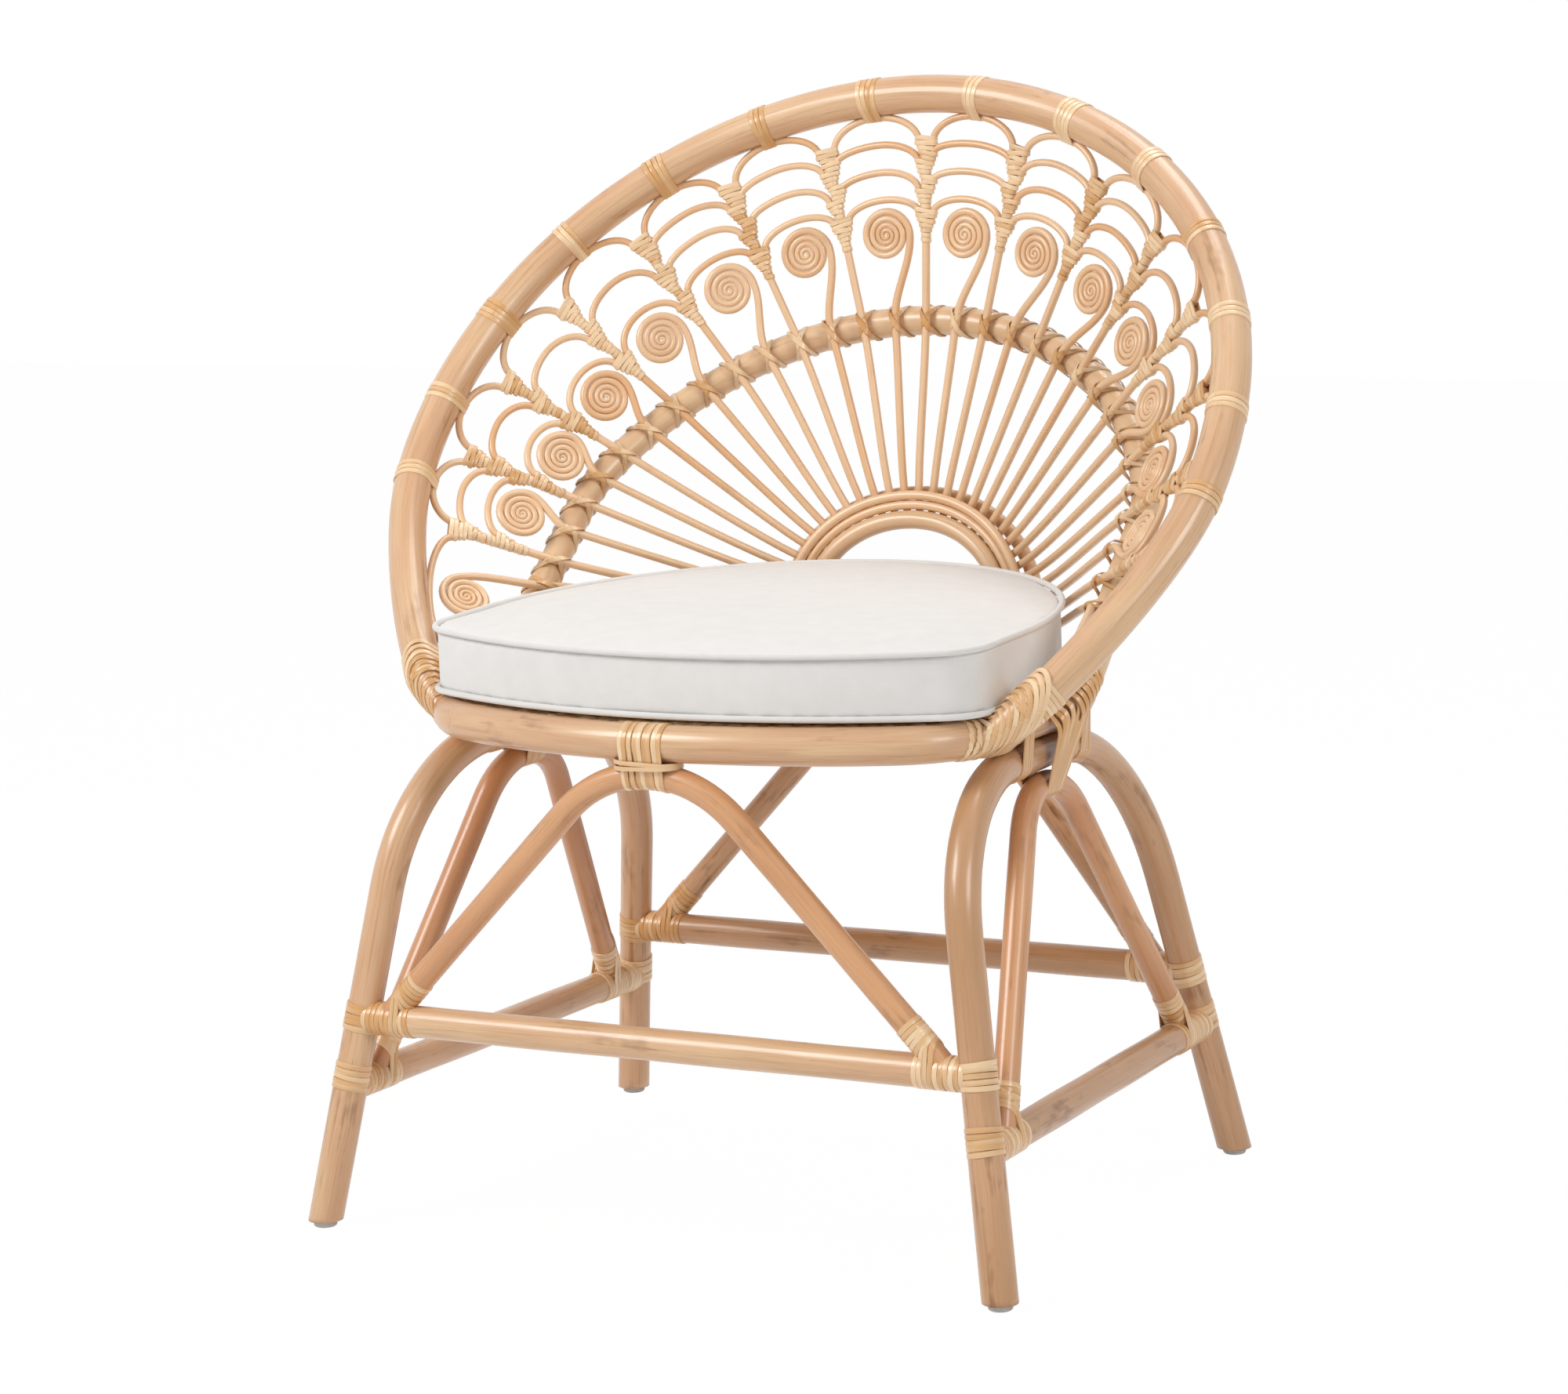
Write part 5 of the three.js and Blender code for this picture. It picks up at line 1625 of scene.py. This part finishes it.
class CHAIR_OT_cushion(PieceOperator, bpy.types.Operator):
    """Sew, fill and pipe the loose seat cushion"""
    bl_idname = "chair.cushion"
    bl_label = "Cushion"

    # How far the cloth lies inside its piping's middle line, and the share to which its underside draws in
    seam_inset = 1.5 * MM
    underside = 0.93
    # The filling's pressure, and for how many frames it blows the cover up
    pressure = 4
    frames = 20

    def build(self):
        pad = chair().cushion
        base = chair().seat.height + chair().pole.ring / 2 + FIT
        cover = self.boxed_cover(base)
        self.fill(cover, base)
        bpy.ops.object.shade_smooth()
        finished(cover, cotton_canvas, "cushion_cloth", "cushion_cover", "cushion_foam", body="cushion")
        dice = random.Random(31)
        for name, height in (("low", pad.seam_low), ("high", pad.seam_high)):
            path = outline_stations(cushion_outline(), 0, base + height, 300)
            if name == "high":
                path = [p + UP * self.lift(p[1]) for p in path]
            piping = cane(path, pad.piping, closed=True)
            piece = draw_canes(f"cushion_piping_{name}", [piping], CANE_BEVEL + 1, dice)
            finished(piece, cotton_canvas, "cushion_cloth", body="cushion")

    def lift(self, y):
        """How much higher the top lies at a place, for the cushion is thicker at the back."""
        shape = cushion_outline()
        depth = shape.front + shape.side_end + shape.behind
        return chair().cushion.back_rise * (y - SHIFT_Y + shape.front) / depth

    def boxed_cover(self, base):
        """A round plate drawn to the cushion's outline, raised to a box, crowned and cut into even faces."""
        pad = chair().cushion
        count = 160
        edge = outline_stations(cushion_outline(), self.seam_inset, 0, count)
        bpy.ops.object.select_all(action="DESELECT")
        bpy.ops.mesh.primitive_circle_add(vertices=count, radius=pad.corner, fill_type="NGON")
        cover = bpy.context.object
        cover.name = "cushion_pad"
        middle = np.mean(edge, axis=0)
        for point, place in zip(cover.data.vertices, edge):
            point.co = (place[0], place[1], base + pad.seam_low)
        # Each ring of the box: its height above the last one, and its size as a share of the outline
        rings = ((pad.seam_high - pad.seam_low, 1), (pad.crown * 0.5, 0.9), (pad.crown * 0.25, 0.8))
        bpy.ops.object.mode_set(mode="EDIT")
        bpy.ops.mesh.select_all(action="SELECT")
        size = 1
        for rise, share in rings:
            bpy.ops.mesh.extrude_region_move(TRANSFORM_OT_translate={"value": (0, 0, rise)})
            bpy.ops.transform.resize(value=(share / size, share / size, 1), center_override=tuple(middle))
            size = share
        bpy.ops.mesh.select_all(action="DESELECT")
        bpy.ops.object.mode_set(mode="OBJECT")
        low = base + pad.seam_low + 1e-5
        for face in cover.data.polygons:
            face.select = all(cover.data.vertices[v].co.z < low for v in face.vertices)
        bpy.ops.object.mode_set(mode="EDIT")
        bpy.ops.mesh.extrude_region_move(TRANSFORM_OT_translate={"value": (0, 0, -pad.seam_low)})
        bpy.ops.transform.resize(value=(self.underside, self.underside, 1), center_override=tuple(middle))
        bpy.ops.mesh.select_all(action="SELECT")
        bpy.ops.mesh.normals_make_consistent(inside=False)
        bpy.ops.object.mode_set(mode="OBJECT")
        for vertex in cover.data.vertices:
            if vertex.co.z > low:
                vertex.co.z += self.lift(vertex.co.y)
        grid = cover.modifiers.new("Grid", "REMESH")
        grid.mode = "VOXEL"
        grid.voxel_size = pad.voxel
        bpy.ops.object.modifier_apply(modifier=grid.name)
        return cover

    def fill(self, cover, base, cap=9 * MM):
        """Blows the cover up as cloth, held at its two seams and kept flat where it rests."""
        pad = chair().cushion
        start = np.array([v.co for v in cover.data.vertices])
        edge = np.array(outline_stations(cushion_outline(), self.seam_inset, 0, 400))[:, :2]
        seams = cover.vertex_groups.new(name="seams")
        for i, point in enumerate(start):
            seam_heights = (base + pad.seam_low, base + pad.seam_high + self.lift(point[1]))
            at_seam = min(abs(point[2] - h) for h in seam_heights) < pad.voxel * 0.8
            if at_seam and np.min(np.linalg.norm(edge - point[:2], axis=1)) < pad.voxel * 1.2:
                seams.add([i], 1, "REPLACE")
        cloth = cover.modifiers.new("Filling", "CLOTH")
        cloth.settings.use_pressure = True
        cloth.settings.uniform_pressure_force = self.pressure
        cloth.settings.effector_weights.gravity = 0
        cloth.settings.vertex_group_mass = seams.name
        cloth.settings.quality = 6
        for step in range(1, self.frames + 1):
            bpy.context.scene.frame_set(step)
        bpy.ops.object.modifier_apply(modifier=cloth.name)
        bpy.context.scene.frame_set(1)
        for vertex, old in zip(cover.data.vertices, start):
            moved = np.array(vertex.co) - old
            far = np.linalg.norm(moved)
            place = old + moved * min(1, cap / max(far, 1e-9))
            place[2] = max(place[2], base)
            vertex.co = place
        soft = cover.modifiers.new("Smooth", "SUBSURF")
        soft.levels = soft.render_levels = 1
        bpy.ops.object.modifier_apply(modifier=soft.name)


class CHAIR_OT_stage(PieceOperator, bpy.types.Operator):
    """Set the floor, the studio light and the camera"""
    bl_idname = "chair.stage"
    bl_label = "Stage"

    # The camera stands before the chair's right side, a little above the seat
    camera_place = (1.7034, -3.1039, 0.9729)
    camera_turn = math.radians(28.918)
    camera_rise = math.radians(9.078)
    camera_roll = math.radians(-2.0)
    focal_pixels = 5589.5
    sensor = 36

    floor_size = 14
    # The floor shows this share of pure white, so that the chair's shadow still reads on it
    floor_white = 0.985
    # Light from all round, and the softboxes: place, aim, width and power
    fill_level = 0.27
    softboxes = (
        ((-1.5, -2.0, 2.35), (0, 0, 0.5), 1.2, 57),
        ((2.6, -1.0, 2.0), (0, 0, 0.6), 1.0, 28),
        ((0.2, 0.9, 3.2), (0, 0, 0.6), 1.4, 31),
    )

    def build(self):
        self.floor()
        self.lights()
        self.camera()
        bpy.context.scene.view_settings.view_transform = "Standard"

    def white_to_camera(self, tree):
        """1 for rays that show the background to the camera, straight or by a reflection."""
        path = add_node(tree, "ShaderNodeLightPath")
        seen = add_node(tree, "ShaderNodeMath", {0: path.outputs["Is Camera Ray"],
                                                 1: path.outputs["Is Glossy Ray"]}, operation="MAXIMUM")
        both = add_node(tree, "ShaderNodeMath", {0: seen.outputs[0], 1: path.outputs["Is Transmission Ray"]},
                        operation="MAXIMUM")
        return both.outputs[0]

    def floor(self):
        """A white floor that keeps the chair's shadow."""
        bpy.ops.object.select_all(action="DESELECT")
        bpy.ops.mesh.primitive_plane_add(size=self.floor_size)
        floor = bpy.context.object
        floor.name = "studio_floor"
        material, tree, shader = new_material("white_floor")
        shader.inputs["Base Color"].default_value = rgba(chair().finish.floor)
        shader.inputs["Roughness"].default_value = 1
        glow = add_node(tree, "ShaderNodeEmission", {"Color": (1, 1, 1, 1), "Strength": 1})
        share = add_node(tree, "ShaderNodeMath", {0: self.white_to_camera(tree), 1: self.floor_white},
                         operation="MULTIPLY")
        both = add_node(tree, "ShaderNodeMixShader", {0: share.outputs[0], 1: shader.outputs[0],
                                                      2: glow.outputs[0]})
        tree.links.new(both.outputs[0], tree.nodes["Material Output"].inputs["Surface"])
        floor.data.materials.append(material)

    def lights(self):
        """A pale studio all round, and three softboxes."""
        world = bpy.context.scene.world or bpy.data.worlds.new("Studio")
        bpy.context.scene.world = world
        world.use_nodes = True
        tree = world.node_tree
        backdrop = tree.nodes["Background"]
        backdrop.inputs["Color"].default_value = (1, 1, 1, 1)
        level = add_node(tree, "ShaderNodeMapRange", {"Value": self.white_to_camera(tree),
                                                      "To Min": self.fill_level, "To Max": 1})
        tree.links.new(level.outputs[0], backdrop.inputs["Strength"])
        for place, aim, width, power in self.softboxes:
            bpy.ops.object.light_add(type="AREA", location=place)
            box = bpy.context.object
            box.data.shape = "SQUARE"
            box.data.size = width
            box.data.energy = power
            box.rotation_euler = (Vector(aim) - Vector(place)).to_track_quat("-Z", "Y").to_euler()

    def camera(self):
        """A long lens before the chair, turned, raised and rolled."""
        bpy.ops.object.camera_add()
        camera = bpy.context.object
        swing, rise, roll = self.camera_turn, self.camera_rise, self.camera_roll
        back = Vector((math.sin(swing) * math.cos(rise), -math.cos(swing) * math.cos(rise), math.sin(rise)))
        right = Vector((math.cos(swing), math.sin(swing), 0))
        up = back.cross(right)
        rolled_right = right * math.cos(roll) + up * math.sin(roll)
        rolled_up = up * math.cos(roll) - right * math.sin(roll)
        axes = Matrix((rolled_right, rolled_up, back)).transposed()
        camera.matrix_world = Matrix.Translation(self.camera_place) @ axes.to_4x4()
        camera.data.sensor_fit = "HORIZONTAL"
        camera.data.sensor_width = self.sensor
        camera.data.lens = self.focal_pixels / IMAGE_WIDTH * self.sensor
        bpy.context.scene.camera = camera


OPERATORS = (
    CHAIR_OT_seat_ring, CHAIR_OT_legs, CHAIR_OT_glides, CHAIR_OT_stretchers, CHAIR_OT_braces, CHAIR_OT_rim,
    CHAIR_OT_arch, CHAIR_OT_hub, CHAIR_OT_spokes, CHAIR_OT_scrolls, CHAIR_OT_scallops, CHAIR_OT_column_wraps,
    CHAIR_OT_rim_ties, CHAIR_OT_crossing_ties, CHAIR_OT_leg_lashings, CHAIR_OT_seat_lashings,
    CHAIR_OT_rim_lashings, CHAIR_OT_deck, CHAIR_OT_cushion, CHAIR_OT_stage,
)


class CHAIR_PT_panel(bpy.types.Panel):
    """Lists the chair's pieces in the sidebar"""
    bl_idname = "CHAIR_PT_panel"
    bl_label = "Peacock chair"
    bl_space_type = "VIEW_3D"
    bl_region_type = "UI"
    bl_category = "Peacock chair"

    def draw(self, context):
        for operator in OPERATORS:
            self.layout.operator(operator.bl_idname)
        for group in ("pole", "seat", "leg", "back", "peel", "cushion", "finish"):
            settings = getattr(context.scene.peacock_chair, group)
            box = self.layout.box()
            box.label(text=group.capitalize())
            for name in settings.__annotations__:
                box.prop(settings, name)


CLASSES = (PoleSizes, SeatSizes, LegSizes, BackSizes, PeelSizes, CushionSizes, Finishes, ChairSettings,
           *OPERATORS, CHAIR_PT_panel)


def register():
    for cls in CLASSES:
        bpy.utils.register_class(cls)
    bpy.types.Scene.peacock_chair = bpy.props.PointerProperty(type=ChairSettings)


def unregister():
    del bpy.types.Scene.peacock_chair
    for cls in reversed(CLASSES):
        bpy.utils.unregister_class(cls)


def main():
    register()
    for operator in OPERATORS:
        group, name = operator.bl_idname.split(".")
        getattr(getattr(bpy.ops, group), name)()


if __name__ == "__main__":
    main()
